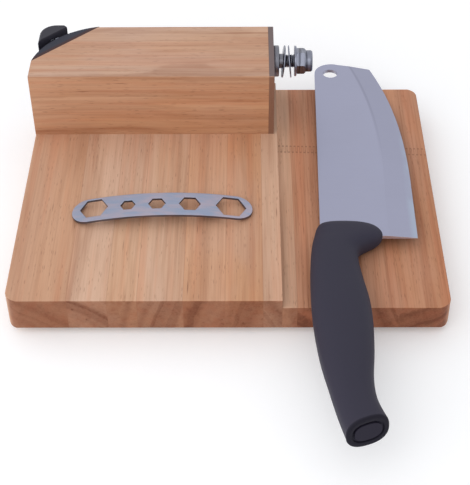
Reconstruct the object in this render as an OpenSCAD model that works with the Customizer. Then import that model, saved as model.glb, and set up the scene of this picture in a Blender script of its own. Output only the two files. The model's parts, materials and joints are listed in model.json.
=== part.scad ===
// Biltong slicer: a stepped wooden board with a pivot block, a lever knife,
// a pull-through sharpener let into the block and a flat spanner for the nut.
// Millimetres. The origin is the centre of the board's underside, X runs to the
// right, Y to the back and Z up. The knife and the spanner lie loose on the board.

/* [Board] */
// Width of the board, left to right
board_w = 223; // [215:1:240]
// Depth of the board, front to back
board_d = 184; // [170:1:210]
// Thickness of the left side, which carries the block
board_t = 20; // [16:0.5:26]
// How much lower the cutting side on the right is
step_drop = 5; // [2:0.5:7]
// Distance from the left edge to the step
step_from_left = 138.5; // [137.5:0.5:145]
// Width of the first stave from the left
stave_1_w = 31; // [26:0.5:34]
// Width of the second stave
stave_2_w = 20; // [16:0.5:22]
// Width of the third stave
stave_3_w = 15; // [12:0.5:17]
// Width of the fourth stave
stave_4_w = 23; // [18:0.5:25]
// Width of the fifth stave
stave_5_w = 21; // [17:0.5:21.5]
// Width of the sixth stave
stave_6_w = 19; // [15:0.5:22]
// Width of the pale stave beside the step
pale_stave_w = 7.5; // [5:0.5:12]
// Width of the first stave of the cutting side
cutting_stave_1_w = 26; // [18:0.5:30]
// Width of the second stave of the cutting side
cutting_stave_2_w = 25; // [18:0.5:30]
// Radius of the board's corners seen from above
board_corner_r = 7.5; // [5:0.5:9]
// Round-over along the bottom edge
bottom_edge_r = 1.6; // [1:0.2:3]
// Round-over along the top edge
top_edge_r = 0.7; // [0.4:0.1:1.5]

/* [Feet] */
// Diameter of a rubber foot
foot_d = 16; // [12:0.5:20]
// Height of a rubber foot
foot_h = 4; // [3.5:0.5:6]
// Distance from the board's edges to a foot's centre
foot_inset = 17; // [14:0.5:22]
// Shank diameter of a foot screw
foot_screw_d = 3; // [2.5:0.1:3.5]
// Length of a foot screw under its head
foot_screw_l = 11; // [8:0.5:13]

/* [Block] */
// Length of the block along X
block_l = 133.5; // [125:0.5:134]
// Depth of the block along Y
block_d = 50; // [46:0.5:56]
// Height of the block above the board
block_h = 40; // [37:0.5:50]
// Round-over along the block's long top edges
block_edge_r = 0.8; // [0.4:0.1:1.5]
// Thickness of the steel plate on the block's right end
plate_t = 3; // [2:0.1:3.4]
// Distance from the plate's edges to its screws
plate_screw_inset = 7.5; // [6.5:0.5:8]
// Shank diameter of a plate screw
plate_screw_d = 3.5; // [3:0.1:4]
// Length of a plate screw under its head
plate_screw_l = 20; // [12:1:30]
// Shank diameter of the screws that hold the block from below
block_screw_d = 5; // [4:0.5:6]
// Length of those screws under the head
block_screw_l = 30; // [26:1:31]
// Depth at which the heads of those screws sit in the board
block_screw_sink = 3; // [1.5:0.5:5]

/* [Pivot] */
// Distance from the block's back face to the stud's axis
pivot_from_back = 15; // [14:0.5:18]
// Height of the stud's axis above the thick side of the board
pivot_up = 26; // [23:0.5:26.5]
// Diameter of the stud's flange
flange_d = 18; // [15:0.5:19]
// Thickness of the stud's flange
flange_t = 3.3; // [2.5:0.1:3.8]
// Diameter of the shoulder that the blade turns on
shoulder_d = 8.4; // [8.2:0.05:8.5]
// Length of the shoulder
shoulder_l = 2.6; // [2:0.1:3]
// Outside diameter of the stud's thread
thread_d = 8; // [7:0.1:8.1]
// Pitch of the stud's thread
thread_pitch = 1.25; // [1:0.05:1.5]
// Length of the stud in front of the plate
stud_reach = 21.6; // [19:0.1:21.8]
// Length of the stud's tail behind the plate
stud_tail = 38; // [30:1:50]
// Outside diameter of the threaded insert in the block
insert_d = 12; // [11:0.5:14]
// Length of the threaded insert
insert_l = 25; // [18:1:29]

/* [Washers and nut] */
// Outside diameter of the thin washers
thin_washer_d = 18.6; // [16:0.2:20]
// Hole diameter of the thin washers
thin_washer_hole = 9.6; // [9.4:0.1:10]
// Thickness of the thin washers
thin_washer_t = 0.7; // [0.5:0.1:0.9]
// Lean of the thin washers, which hang loose
washer_lean = 5.5; // [4:0.5:6]
// How far the thin washers hang below the stud's axis
washer_hang = 0.35; // [0.2:0.05:0.4]
// Distance from the plate to the middle of the inner thin washer
inner_washer_x = 5.8; // [5.7:0.05:6]
// Distance from the plate to the middle of the outer thin washer
outer_washer_x = 9.5; // [9.3:0.05:9.6]
// Distance from the plate to the inner face of the nut's washer
nut_washer_x = 12.1; // [12:0.1:12.6]
// Outside diameter of the nut's washer
nut_washer_d = 17.5; // [15:0.5:19]
// Thickness of the nut's washer
nut_washer_t = 1.2; // [0.9:0.1:1.3]
// Width of the nut across its flats
nut_af = 13; // [12.6:0.1:13.6]
// Length of the nut's hexagon
nut_hex_l = 5.3; // [4.5:0.1:5.5]
// Diameter of the round collar that grips the nylon ring
collar_d = 12.4; // [12:0.1:12.5]
// Length of the collar
collar_l = 3.9; // [3.2:0.1:4.2]
// Wall of the collar
collar_wall = 0.8; // [0.6:0.1:1.1]
// Thickness of the collar's lip over the nylon ring
collar_lip_t = 0.6; // [0.4:0.1:0.9]
// Turn of the nut on the stud
nut_turn = 48; // [0:1:59]

/* [Sharpener] */
// Distance from the block's front face to where the corner cut starts
cut_from_front = 15.5; // [12:0.5:18]
// Length of the corner cut along the block's back face
cut_along_back = 35.5; // [34:0.5:42]
// How far the sharpener's base bows out of the cut
base_bow = 7.5; // [7:0.1:8.4]
// Width of the slot between the base and the guard
slot_w = 2.8; // [2.8:0.1:3.4]
// Depth of the slot below the block's top
slot_depth = 10; // [9:0.5:15]
// Height of the guard
guard_h = 24; // [20:0.5:28]
// How far the guard stands above the block's top
guard_proud = 2; // [0:0.5:3]
// Distance of the guard from the block's left face
guard_inset = 2; // [1:0.5:3]
// Length of the guard along X
guard_l = 13.8; // [12:0.2:18]
// Radius of the guard's outer corner
guard_corner_r = 8.5; // [6:0.5:9.5]
// Width of the bevel round the guard's top
guard_bevel = 1.6; // [1:0.2:2.2]
// Width of the bevel along the slot, as a share of the other
guard_front_bevel = 0.25; // [0.1:0.05:0.6]
// Distance along the cut to the cutters
cutter_at = 23.5; // [22:0.5:25]
// Length of each cutter along the slot
cutter_l = 2.4; // [1.6:0.1:3]
// Thickness of each cutter
cutter_t = 0.9; // [0.7:0.1:1]
// Height of each cutter above its holder
cutter_h = 9.5; // [8:0.5:10.5]
// Lean of the cutters, which cross to a V
cutter_lean = 7; // [6:1:8]
// Depth of each cutter's root in its holder
cutter_root = 1.2; // [0.8:0.1:2]
// Half the gap between the two cutters along the slot
cutters_apart = 0.2; // [0.1:0.05:0.4]
// Shank diameter of the sharpener's screws
sharpener_screw_d = 3; // [2.5:0.1:3.5]
// Length of the base's two screws under the head
base_screw_l = 18; // [12:1:24]
// Depth of their heads in the base's bowed face
base_screw_sink = 3.4; // [3:0.1:4]
// Distance between those screws along the cut
base_screw_apart = 22; // [18:1:26]
// Height of those screws above the board
base_screw_up = 10; // [8:0.5:13]
// Length of the guard's screw under its head
guard_screw_l = 26; // [20:1:32]
// Distance from the guard's flat face to its screw's head
guard_screw_out = 5; // [4:0.5:7]

/* [Knife] */
// Distance from the step to the middle of the blade's hole
knife_from_step = 33.7; // [32:0.1:36]
// Distance from the board's back edge to the middle of the blade's hole
knife_overhang = 13.9; // [12:0.1:15]
// Turn of the knife on the board
knife_turn = 1.4; // [0:0.1:2]
// Thickness of the blade
blade_t = 2; // [1.5:0.1:2.2]
// Thickness of the blade's edge
edge_t = 0.4; // [0.3:0.1:0.6]
// Diameter of the blade's hole
pivot_hole_d = 8.8; // [8.6:0.05:9]
// Distance from the hole to the spine
spine_from_hole = 9.5; // [8.5:0.1:10.5]
// Radius of the rounded corner beside the hole
tip_r = 10.4; // [9.5:0.1:11]
// Distance from the hole to the heel
heel_from_hole = 152.5; // [150:0.5:155]
// Height of the blade at the heel
heel_h = 50.5; // [49:0.5:53]
// Height of the blade at the tip
tip_h = 33.8; // [31:0.2:35]
// Width of the ground bevel at the heel
bevel_heel_w = 15.2; // [12:0.2:16]
// Width of the ground bevel at the tip
bevel_tip_w = 11.4; // [9:0.2:12.4]
// Length of the tang behind the heel
tang_l = 85; // [60:1:100]
// Width of the blade's root inside the handle
root_w = 33; // [32.6:0.2:36]
// Length of that root, most of it in front of the heel
root_l = 14; // [12:1:20]
// Width of the tang
tang_w = 11; // [9:0.5:12]
// Wall of the soft grip round the handle's core
grip_wall = 3.8; // [3.4:0.1:4.2]
// Width of the groove round the core at the butt
butt_groove_w = 1.1; // [0.6:0.1:1.4]
// Depth of the groove
butt_groove_depth = 1.2; // [0.8:0.1:1.6]

/* [Spanner] */
// Length of the spanner
spanner_l = 96; // [92:0.5:104]
// Width of the spanner
spanner_w = 17.8; // [17:0.1:19]
// Thickness of the spanner
spanner_t = 1.5; // [1.2:0.1:2.5]
// How far the arched middle rises above the ends
spanner_rise = 5.4; // [4:0.2:7]
// Distance from the board's left edge to the spanner's middle
spanner_from_left = 76; // [72:0.5:80]
// Distance from the board's front edge to the spanner's middle
spanner_from_front = 65.3; // [60:0.1:90]
// Turn of the spanner on the board
spanner_turn = 1.8; // [0:0.1:5]
// Width across flats of the left hexagon, which fits the nut
hex_1_af = 13.2; // [12.8:0.1:13.6]
// Width across flats of the second hexagon
hex_2_af = 7; // [6:0.5:7.5]
// Width across flats of the third hexagon
hex_3_af = 8; // [7.5:0.5:9]
// Width across flats of the fourth hexagon
hex_4_af = 10; // [9:0.5:11]
// Width across flats of the right hexagon
hex_5_af = 14.2; // [13.8:0.1:14.6]

/* [Clearances] */
// Gap between pieces that are fixed to each other
fixed_gap = 0.05; // [0.02:0.01:0.08]
// Radial gap of the nut and its washer on the stud
thread_gap = 0.06; // [0.03:0.01:0.1]
// Gap under a piece that lies loose
rest_gap = 0.2; // [0.1:0.05:0.4]

/* [Hidden] */
$fn = 64;

light_wood = [0.82, 0.64, 0.47];
tan_wood = [0.77, 0.57, 0.40];
red_wood = [0.70, 0.46, 0.33];
steel = [0.68, 0.69, 0.72];
dark_plastic = [0.20, 0.20, 0.23];

// More than any piece needs, for cuts that run right through
past = 5;
// A thin slice, for hulls
slice = 0.01;

left_x = -board_w / 2;
right_x = board_w / 2;
front_y = -board_d / 2;
back_y = board_d / 2;
step_x = left_x + step_from_left;
cutting_t = board_t - step_drop;
pale_x = step_x + pale_stave_w;

block_x = left_x + block_l;
block_y = back_y - block_d;
block_top = board_t + block_h;
plate_x = block_x + plate_t;

pivot_y = back_y - pivot_from_back;
pivot_z = board_t + pivot_up;
thread_depth = 0.6 * thread_pitch;
head_ratio = 2;

cut_back = block_d - cut_from_front;
cut_a = atan2(cut_back, cut_along_back);
cut_len = norm([cut_along_back, cut_back]);
bow_r = (cut_len * cut_len / 4 + base_bow * base_bow) / (2 * base_bow);
guard_v = base_bow + slot_w;
guard_top = block_top + guard_proud;
guard_z = guard_top - guard_h;
slot_z = block_top - slot_depth;
guard_screw_z = (guard_z + slot_z) / 2;
guard_screw_v = guard_v + guard_screw_out;
base_screw_v = base_bow - base_screw_sink;
base_screw_places = [for (j = [-1, 1]) [cut_len / 2 + j * base_screw_apart / 2, board_t + base_screw_up]];

knife_x = step_x + knife_from_step;
knife_y = back_y + knife_overhang;
spine_x = -spine_from_hole;
tip_y = tip_r + 0.3;
heel_y = -heel_from_hole;
// The edge runs straight from the heel to here, then curves in towards the tip
belly_y = -120;
edge_power = 2.6;
tip_slope = 4.5;
tang_end_y = heel_y - tang_l;
tang_x = -1.2 - tang_w / 2;

// Sections of the handle from the blade to the butt: the left end and the right
// end of each, seen from above in the knife's own frame, its thickness, and how far
// it leans towards the blade for each millimetre up
handle_sections = [
    [-4, -143.6, 10, -143.6, 4.4, 0],
    [-9.3, -145, 16.8, -145, 7.6, 0],
    [-11.2, -148.6, 21.2, -148.6, 12.2, 0],
    [-12.2, -152.8, 22.9, -152.8, 13.6, 0],
    [-13.1, -157.5, 20.8, -157.5, 14.2, 0],
    [-13.8, -161.5, 15, -161.5, 14.6, 0],
    [-14.3, -166, 10.5, -166, 15, 0],
    [-14.8, -174, 9.6, -174, 15.6, 0],
    [-15.2, -187, 11.2, -187, 16.6, 0],
    [-15.1, -203, 13.7, -203, 17.4, 0],
    [-14.2, -221, 14.5, -219, 17.8, 0],
    [-11.8, -242, 14, -238, 17, 0],
    [-8, -261, 12.8, -256, 15.8, 0],
    [-4.5, -277, 14, -269.5, 15.6, 0.05],
    [-1, -290, 18.4, -282, 16.2, 0.14]];
core_from = 6;
butt = handle_sections[len(handle_sections) - 1];
butt_mid = [(butt[0] + butt[2]) / 2, (butt[1] + butt[3]) / 2];
butt_a = atan2(butt[3] - butt[1], butt[2] - butt[0]);
butt_w = norm([butt[2] - butt[0], butt[3] - butt[1]]);
rings_between = 3;
ring_points = 28;
section_power = 0.82;

// The knife rests on the board's back edge and on the handle's lowest section
rest_y = -knife_overhang;
knife_tilt = atan(max([for (s = handle_sections) if (s[1] > -board_d - knife_overhang)
    (s[4] - blade_t) / 2 / (rest_y - s[1])]));
knife_z = cutting_t + rest_gap + blade_t / 2 + tan(knife_tilt) * rest_y;

spanner_r = (spanner_l * spanner_l / 4 + spanner_rise * spanner_rise) / (2 * spanner_rise);
spanner_mid = [left_x + spanner_from_left, front_y + spanner_from_front];
// Where the middles of the hexagons stand along the spanner, as shares of its length
hex_places = [-0.375, -0.187, -0.027, 0.153, 0.379];
// How far each stands behind the bar's middle line, because the row was punched askew
hex_offsets = [1.1, 0.5, 0.4, 0.2, 0];
hex_sizes = [hex_1_af, hex_2_af, hex_3_af, hex_4_af, hex_5_af];

thick_widths = [stave_1_w, stave_2_w, stave_3_w, stave_4_w, stave_5_w, stave_6_w];
function run_of(widths, n) = n == 0 ? 0 : widths[n - 1] + run_of(widths, n - 1);
function thick_edge(n) = n > 6 ? step_x : left_x + run_of(thick_widths, n);

foot_places = [for (x = [left_x + foot_inset, right_x - foot_inset])
    for (y = [front_y + foot_inset, back_y - foot_inset]) [x, y]];
// The screws under the block stand in the middle of the second and sixth staves
block_screw_places = [for (n = [2, 6]) for (j = [-1, 1])
    [(thick_edge(n - 1) + thick_edge(n)) / 2, block_y + block_d / 2 + j * block_d / 4]];
plate_screw_places = [for (y = [block_y + plate_screw_inset, back_y - plate_screw_inset])
    for (z = [board_t + plate_screw_inset, block_top - plate_screw_inset]) [y, z]];

// A countersunk screw that points up from its head's face at the origin
module countersunk_screw(d, l) {
    head_d = d * head_ratio;
    head_h = (head_d - d) / 2;
    difference() {
        union() {
            cylinder(h = head_h, d1 = head_d, d2 = d);
            cylinder(h = l, d = d);
            translate([0, 0, l]) cylinder(h = d, d1 = d, d2 = 0.3);
        }
        for (a = [0, 90]) rotate(a) translate([-d * 0.7, -d * 0.14, -past])
            cube([d * 1.4, d * 0.28, past + head_h * 0.8]);
    }
}

// The hole that such a screw sits in
module screw_hole(d, l) {
    head_d = d * head_ratio + 2 * fixed_gap;
    wide_d = d + 2 * fixed_gap;
    translate([0, 0, -past]) cylinder(h = past + slice / 10, d = head_d);
    cylinder(h = (head_d - wide_d) / 2, d1 = head_d, d2 = wide_d);
    cylinder(h = l + fixed_gap, d = wide_d);
    translate([0, 0, l]) cylinder(h = d + fixed_gap, d1 = wide_d, d2 = 0.4);
}

// Cross-section of a board or block, standing on the origin, with eased edges
module eased_profile(w, h, bottom_r, top_r) {
    translate([-w / 2 + bottom_r, 0]) square([w - 2 * bottom_r, h - top_r]);
    translate([-w / 2, bottom_r]) square([w, h - bottom_r - top_r]);
    translate([-w / 2 + top_r, h / 2]) square([w - 2 * top_r, h / 2]);
    for (s = [-1, 1]) {
        translate([s * (w / 2 - bottom_r), bottom_r]) circle(r = bottom_r);
        translate([s * (w / 2 - top_r), h - top_r]) circle(r = top_r);
    }
}

module rounded_plan(w, d, r) {
    square([w - 2 * r, d], center = true);
    square([w, d - 2 * r], center = true);
    for (x = [-1, 1]) for (y = [-1, 1])
        translate([x * (w / 2 - r), y * (d / 2 - r)]) circle(r = r);
}

// The whole board at one thickness
module board_form(h) {
    intersection() {
        linear_extrude(h) rounded_plan(board_w, board_d, board_corner_r);
        translate([left_x, 0, 0]) rotate([90, 0, 90]) linear_extrude(board_w)
            eased_profile(board_d, h, bottom_edge_r, top_edge_r);
        translate([0, back_y, 0]) rotate([90, 0, 0]) linear_extrude(board_d)
            eased_profile(board_w, h, bottom_edge_r, top_edge_r);
    }
}

module foot_screw_cuts() {
    for (p = foot_places) translate([p[0], p[1], -foot_h + 1]) screw_hole(foot_screw_d, foot_screw_l);
}

module block_screw_cuts() {
    for (p = block_screw_places) translate([p[0], p[1], block_screw_sink])
        screw_hole(block_screw_d, block_screw_l);
}

// One stave, cut out of the board between two places along X
module stave(x0, x1, h) {
    difference() {
        intersection() {
            board_form(h);
            translate([x0, front_y - past, -past]) cube([x1 - x0, board_d + 2 * past, h + 2 * past]);
        }
        foot_screw_cuts();
        block_screw_cuts();
    }
}

module thick_stave(n, tint) {
    color(tint) stave(thick_edge(n - 1), thick_edge(n), board_t);
}

module cutting_stave(x0, x1, tint) {
    color(tint) stave(x0, x1, cutting_t);
}

module rubber_feet() {
    color([0.15, 0.15, 0.16]) difference() {
        for (p = foot_places) translate([p[0], p[1], -foot_h]) {
            cylinder(h = 1, d1 = foot_d - 2, d2 = foot_d);
            translate([0, 0, 1]) cylinder(h = foot_h - 1, d = foot_d);
        }
        foot_screw_cuts();
    }
}

module foot_screws() {
    color(steel) for (p = foot_places) translate([p[0], p[1], -foot_h + 1])
        countersunk_screw(foot_screw_d, foot_screw_l);
}

// Places children on the corner cut: X along it and Y out of the block
module on_cut() {
    translate([left_x, block_y + cut_from_front, 0]) rotate([0, 0, cut_a]) children();
}

// Points a screw into the block from a place on the cut
module into_block(u, v, z) {
    on_cut() translate([u, v, z]) rotate([90, 0, 0]) children();
}

module base_screw_cuts() {
    for (p = base_screw_places) into_block(p[0], base_screw_v, p[1])
        screw_hole(sharpener_screw_d, base_screw_l);
}

module guard_screw_cut() {
    into_block(cutter_at, guard_screw_v, guard_screw_z) {
        screw_hole(sharpener_screw_d, guard_screw_l);
        translate([0, 0, -block_d]) cylinder(h = block_d, d = sharpener_screw_d * head_ratio + 0.6);
    }
}

module pivot_block() {
    color(tan_wood) difference() {
        translate([left_x, block_y + block_d / 2, board_t]) rotate([90, 0, 90])
            linear_extrude(block_l) block_profile();
        on_cut() translate([-past, 0, 0])
            cube([cut_len + 2 * past + block_d, block_d, block_top + past]);
        translate([block_x + past, pivot_y, pivot_z]) rotate([0, -90, 0])
            cylinder(h = past + insert_l + fixed_gap, d = insert_d + 2 * fixed_gap);
        translate([block_x, pivot_y, pivot_z]) rotate([0, -90, 0])
            cylinder(h = stud_tail + 1, d = thread_d + 0.4);
        plate_screw_cuts();
        block_screw_cuts();
        base_screw_cuts();
        guard_screw_cut();
    }
}

// The block stands flat on the board, so only its top edges are eased
module block_profile() {
    translate([-block_d / 2, 0]) square([block_d, block_h - block_edge_r]);
    translate([-block_d / 2 + block_edge_r, 0]) square([block_d - 2 * block_edge_r, block_h]);
    for (s = [-1, 1]) translate([s * (block_d / 2 - block_edge_r), block_h - block_edge_r])
        circle(r = block_edge_r);
}

module block_screws() {
    color(steel) for (p = block_screw_places) translate([p[0], p[1], block_screw_sink])
        countersunk_screw(block_screw_d, block_screw_l);
}

module plate_screw_cuts() {
    for (p = plate_screw_places) translate([plate_x, p[0], p[1]]) rotate([0, -90, 0])
        screw_hole(plate_screw_d, plate_screw_l);
}

module end_plate() {
    color([0.45, 0.42, 0.44]) difference() {
        translate([block_x, block_y + block_d / 2, board_t]) rotate([90, 0, 90])
            linear_extrude(plate_t) block_profile();
        translate([block_x - past, pivot_y, pivot_z]) rotate([0, 90, 0])
            cylinder(h = plate_t + 2 * past, d = thread_d + 0.4);
        plate_screw_cuts();
    }
}

module plate_screws() {
    color(steel) for (p = plate_screw_places) translate([plate_x, p[0], p[1]]) rotate([0, -90, 0])
        countersunk_screw(plate_screw_d, plate_screw_l);
}

module thread_insert() {
    color([0.75, 0.66, 0.40]) translate([block_x, pivot_y, pivot_z]) rotate([0, -90, 0])
        difference() {
            cylinder(h = insert_l, d = insert_d);
            translate([0, 0, -past]) cylinder(h = insert_l + 2 * past, d = thread_d + 2 * fixed_gap);
        }
}

// Turned profile of the stud, with its axis upright and the plate's face at zero
function thread_rings(from, to) = let (n = floor((to - from) / thread_pitch))
    [for (i = [0:n - 1]) each [[thread_d / 2 - thread_depth, from + (i + 0.15) * thread_pitch],
        [thread_d / 2, from + (i + 0.55) * thread_pitch],
        [thread_d / 2, from + (i + 0.75) * thread_pitch]]];

module pivot_stud() {
    collar_end = flange_t + shoulder_l;
    color([0.50, 0.51, 0.54]) translate([plate_x, pivot_y, pivot_z]) rotate([0, 90, 0])
        rotate_extrude() polygon(concat(
            [[0, -plate_t - stud_tail], [thread_d / 2 - 0.8, -plate_t - stud_tail],
            [thread_d / 2, -plate_t - stud_tail + 0.8], [thread_d / 2, 0],
            [flange_d / 2 - 0.3, 0], [flange_d / 2, 0.3], [flange_d / 2, flange_t - 0.3],
            [flange_d / 2 - 0.3, flange_t], [shoulder_d / 2, flange_t], [shoulder_d / 2, collar_end - 0.2],
            [shoulder_d / 2 - 0.2, collar_end]],
            thread_rings(collar_end, stud_reach - 0.6),
            [[thread_d / 2 - 0.7, stud_reach], [0, stud_reach]]));
}

module thin_washer(x, lean) {
    translate([plate_x + x, pivot_y, pivot_z - washer_hang]) rotate([0, 90 + lean, 0])
        difference() {
            cylinder(h = thin_washer_t, d = thin_washer_d, center = true);
            cylinder(h = past, d = thin_washer_hole, center = true);
        }
}

module inner_washer() {
    color(steel) thin_washer(inner_washer_x, washer_lean);
}

module outer_washer() {
    color(steel) thin_washer(outer_washer_x, -washer_lean);
}

module nut_washer() {
    color(steel) translate([plate_x + nut_washer_x, pivot_y, pivot_z]) rotate([0, 90, 0])
        difference() {
            cylinder(h = nut_washer_t, d = nut_washer_d);
            translate([0, 0, -past]) cylinder(h = past * 2, d = thread_d + 2 * thread_gap);
        }
}

module on_nut() {
    translate([plate_x + nut_washer_x + nut_washer_t, pivot_y, pivot_z]) rotate([0, 90, 0]) children();
}

module lock_nut() {
    corner_d = nut_af / cos(30);
    nut_l = nut_hex_l + collar_l;
    color(steel) on_nut() difference() {
        union() {
            intersection() {
                rotate(30 + nut_turn) cylinder(h = nut_hex_l, d = corner_d, $fn = 6);
                union() {
                    cylinder(h = 0.5, d1 = corner_d - 1, d2 = corner_d);
                    translate([0, 0, 0.5]) cylinder(h = nut_hex_l - 1.5, d = corner_d);
                    translate([0, 0, nut_hex_l - 1]) cylinder(h = 1, d1 = corner_d, d2 = corner_d - 1.8);
                }
            }
            translate([0, 0, nut_hex_l - 0.5]) cylinder(h = collar_l - 0.3, d = collar_d);
            translate([0, 0, nut_l - 0.8]) cylinder(h = 0.8, d1 = collar_d, d2 = collar_d - 1.2);
        }
        translate([0, 0, -past]) cylinder(h = nut_l + 2 * past, d = thread_d + 2 * thread_gap);
        translate([0, 0, nut_hex_l]) cylinder(h = collar_l - collar_lip_t, d = collar_d - 2 * collar_wall);
        translate([0, 0, nut_hex_l]) cylinder(h = collar_l + past, d = collar_d - 2 * collar_wall - 1);
    }
}

module nut_ring() {
    ring_d = collar_d - 2 * (collar_wall + fixed_gap);
    color([0.85, 0.87, 0.90]) on_nut() translate([0, 0, nut_hex_l + fixed_gap]) difference() {
        cylinder(h = collar_l - collar_lip_t - 2 * fixed_gap, d = ring_d);
        translate([0, 0, -past]) cylinder(h = collar_l + 2 * past, d = thread_d + 2 * thread_gap);
    }
}

// Outline of the base between the cut and its bowed face
module base_plan(grow) {
    on_cut() intersection() {
        translate([cut_len / 2, base_bow - bow_r]) circle(r = bow_r + grow, $fn = 128);
        translate([-past, 0]) square([cut_len + 2 * past, block_d]);
    }
}

module block_corner_plan() {
    translate([left_x, block_y]) square([block_l, block_d]);
}

module sharpener_base() {
    color([0.22, 0.23, 0.28]) difference() {
        translate([0, 0, board_t]) linear_extrude(block_h) intersection() {
            base_plan(0);
            block_corner_plan();
        }
        base_screw_cuts();
        guard_screw_cut();
    }
}

// The guard fills the block's corner behind the slot
module guard_outer_plan(inset) {
    x0 = left_x + guard_inset + inset;
    x1 = left_x + guard_inset + guard_l - inset;
    y0 = block_y + cut_from_front;
    y1 = back_y - inset;
    r = guard_corner_r;
    translate([x0, y0]) square([x1 - x0, y1 - r - y0]);
    translate([x0 + r, y0]) square([x1 - x0 - r, y1 - y0]);
    translate([x0 + r, y1 - r]) circle(r = r);
}

module guard_plan(inset) {
    intersection() {
        guard_outer_plan(inset);
        on_cut() translate([-past, guard_v + inset * guard_front_bevel]) square([cut_len, block_d]);
    }
}

// Its top is rounded over in two steps
module sharpener_guard() {
    color(dark_plastic) difference() {
        hull() {
            translate([0, 0, guard_z]) linear_extrude(guard_h - guard_bevel) guard_plan(0);
            for (step = [[0.4, 0.35], [slice, 1]])
                translate([0, 0, guard_top - guard_bevel * step[0]]) linear_extrude(slice * guard_bevel)
                    guard_plan(guard_bevel * step[1]);
        }
        guard_screw_cut();
    }
}

// The holder fills the foot of the slot and carries the cutters
module holder_plan() {
    difference() {
        intersection() {
            guard_outer_plan(0);
            on_cut() translate([-past, 0]) square([cut_len + 2 * past, guard_v]);
        }
        base_plan(fixed_gap);
    }
}

// Each cutter stands on its own side of the slot and leans across to the other
module cutter_places(side) {
    across = side * cutter_h * sin(cutter_lean) / 2;
    along = cutter_at + side * (cutter_l / 2 + cutters_apart);
    on_cut() translate([along, guard_v - slot_w / 2 + across, slot_z])
        rotate([side * cutter_lean, 0, 0]) children();
}

module cutter_holder() {
    color([0.30, 0.30, 0.32]) difference() {
        translate([0, 0, guard_z]) linear_extrude(slot_z - guard_z) holder_plan();
        guard_screw_cut();
        for (s = [-1, 1]) cutter_places(s) cutter_blank(fixed_gap);
    }
}

module cutter_blank(gap) {
    translate([-cutter_l / 2 - gap, -cutter_t / 2 - gap, -cutter_root - gap])
        cube([cutter_l + 2 * gap, cutter_t + 2 * gap, cutter_root + cutter_h + gap]);
}

module cutter_front() {
    color(steel) cutter_places(-1) cutter_blank(0);
}

module cutter_back() {
    color(steel) cutter_places(1) cutter_blank(0);
}

module base_screws() {
    color(steel) for (p = base_screw_places) into_block(p[0], base_screw_v, p[1])
        countersunk_screw(sharpener_screw_d, base_screw_l);
}

module guard_screw() {
    color(steel) into_block(cutter_at, guard_screw_v, guard_screw_z)
        countersunk_screw(sharpener_screw_d, guard_screw_l);
}

// Places the knife, whose own origin is the middle of the blade's hole
module on_knife() {
    translate([knife_x, knife_y, knife_z]) rotate([0, 0, -knife_turn])
        rotate([-knife_tilt, 0, 0]) children();
}

// How far the edge lies from the spine at a place along the blade
function edge_height(y) = heel_h - (y < belly_y ? 0
    : (heel_h - tip_h) * pow((y - belly_y) / (tip_y - tip_slope - belly_y), edge_power));

function bevel_width(y) = bevel_heel_w + (bevel_tip_w - bevel_heel_w)
    * max(0, (y - belly_y) / (tip_y - belly_y));

// Joins rings of points into one closed skin. Each ring runs anticlockwise about
// the direction in which the rings follow each other
module skin(rings) {
    n = len(rings[0]);
    last = len(rings) - 1;
    polyhedron(points = [for (ring = rings) each ring],
        faces = concat(
            [[for (i = [0:n - 1]) i]],
            [for (k = [0:last - 1]) for (i = [0:n - 1])
                [k * n + i, (k + 1) * n + i, (k + 1) * n + (i + 1) % n, k * n + (i + 1) % n]],
            [[for (i = [n - 1:-1:0]) last * n + i]]));
}

blade_stations = [heel_y - 3, belly_y, for (i = [1:16]) belly_y + i * (tip_y + 1 - belly_y) / 16];

function blade_ring(y) = let (e = spine_x + edge_height(y), g = e - bevel_width(y), h = blade_t / 2)
    [[spine_x, y, h], [g, y, h], [e, y, edge_t / 2], [e, y, -edge_t / 2], [g, y, -h], [spine_x, y, -h]];

// Outline of the blade's tip and heel, past the edge where the bevel ends it
module blade_outline() {
    corner_x = spine_x + tip_r;
    far_x = spine_x + heel_h + past;
    tip_x = spine_x + tip_h;
    fall = tip_slope / (tip_x - corner_x);
    translate([corner_x, tip_y - tip_r]) circle(r = tip_r, $fn = 96);
    polygon([[spine_x, heel_y], [spine_x, tip_y - tip_r], [corner_x, tip_y],
        [far_x, tip_y - fall * (far_x - corner_x)], [far_x, heel_y - 1.5]]);
}

module tang_plan(gap) {
    translate([spine_x - gap, heel_y - 1 - gap]) square([root_w + 2 * gap, root_l + 2 * gap]);
    translate([tang_x - gap, tang_end_y - gap]) square([tang_w + 2 * gap, tang_l + 2 * gap]);
}

module tang_form(gap) {
    translate([0, 0, -blade_t / 2 - gap]) linear_extrude(blade_t + 2 * gap) tang_plan(gap);
}

module knife_blade() {
    color([0.66, 0.67, 0.73]) on_knife() difference() {
        union() {
            intersection() {
                skin([for (y = blade_stations) blade_ring(y)]);
                translate([0, 0, -past]) linear_extrude(2 * past) blade_outline();
            }
            tang_form(0);
        }
        translate([0, 0, -past]) cylinder(h = 2 * past, d = pivot_hole_d);
    }
}

// A smooth run through four values, at a share of the way from the second to the third
function smooth(a, b, c, d, t) = b + t / 2 * (c - a + t * (2 * a - 5 * b + 4 * c - d
    + t * (3 * (b - c) + d - a)));

function smooth_sections(list) = let (last = len(list) - 1)
    [for (i = [0:last - 1]) for (k = [0:rings_between - 1])
        smooth(list[max(i - 1, 0)], list[i], list[i + 1], list[min(i + 2, last)], k / rings_between),
    list[last]];

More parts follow.
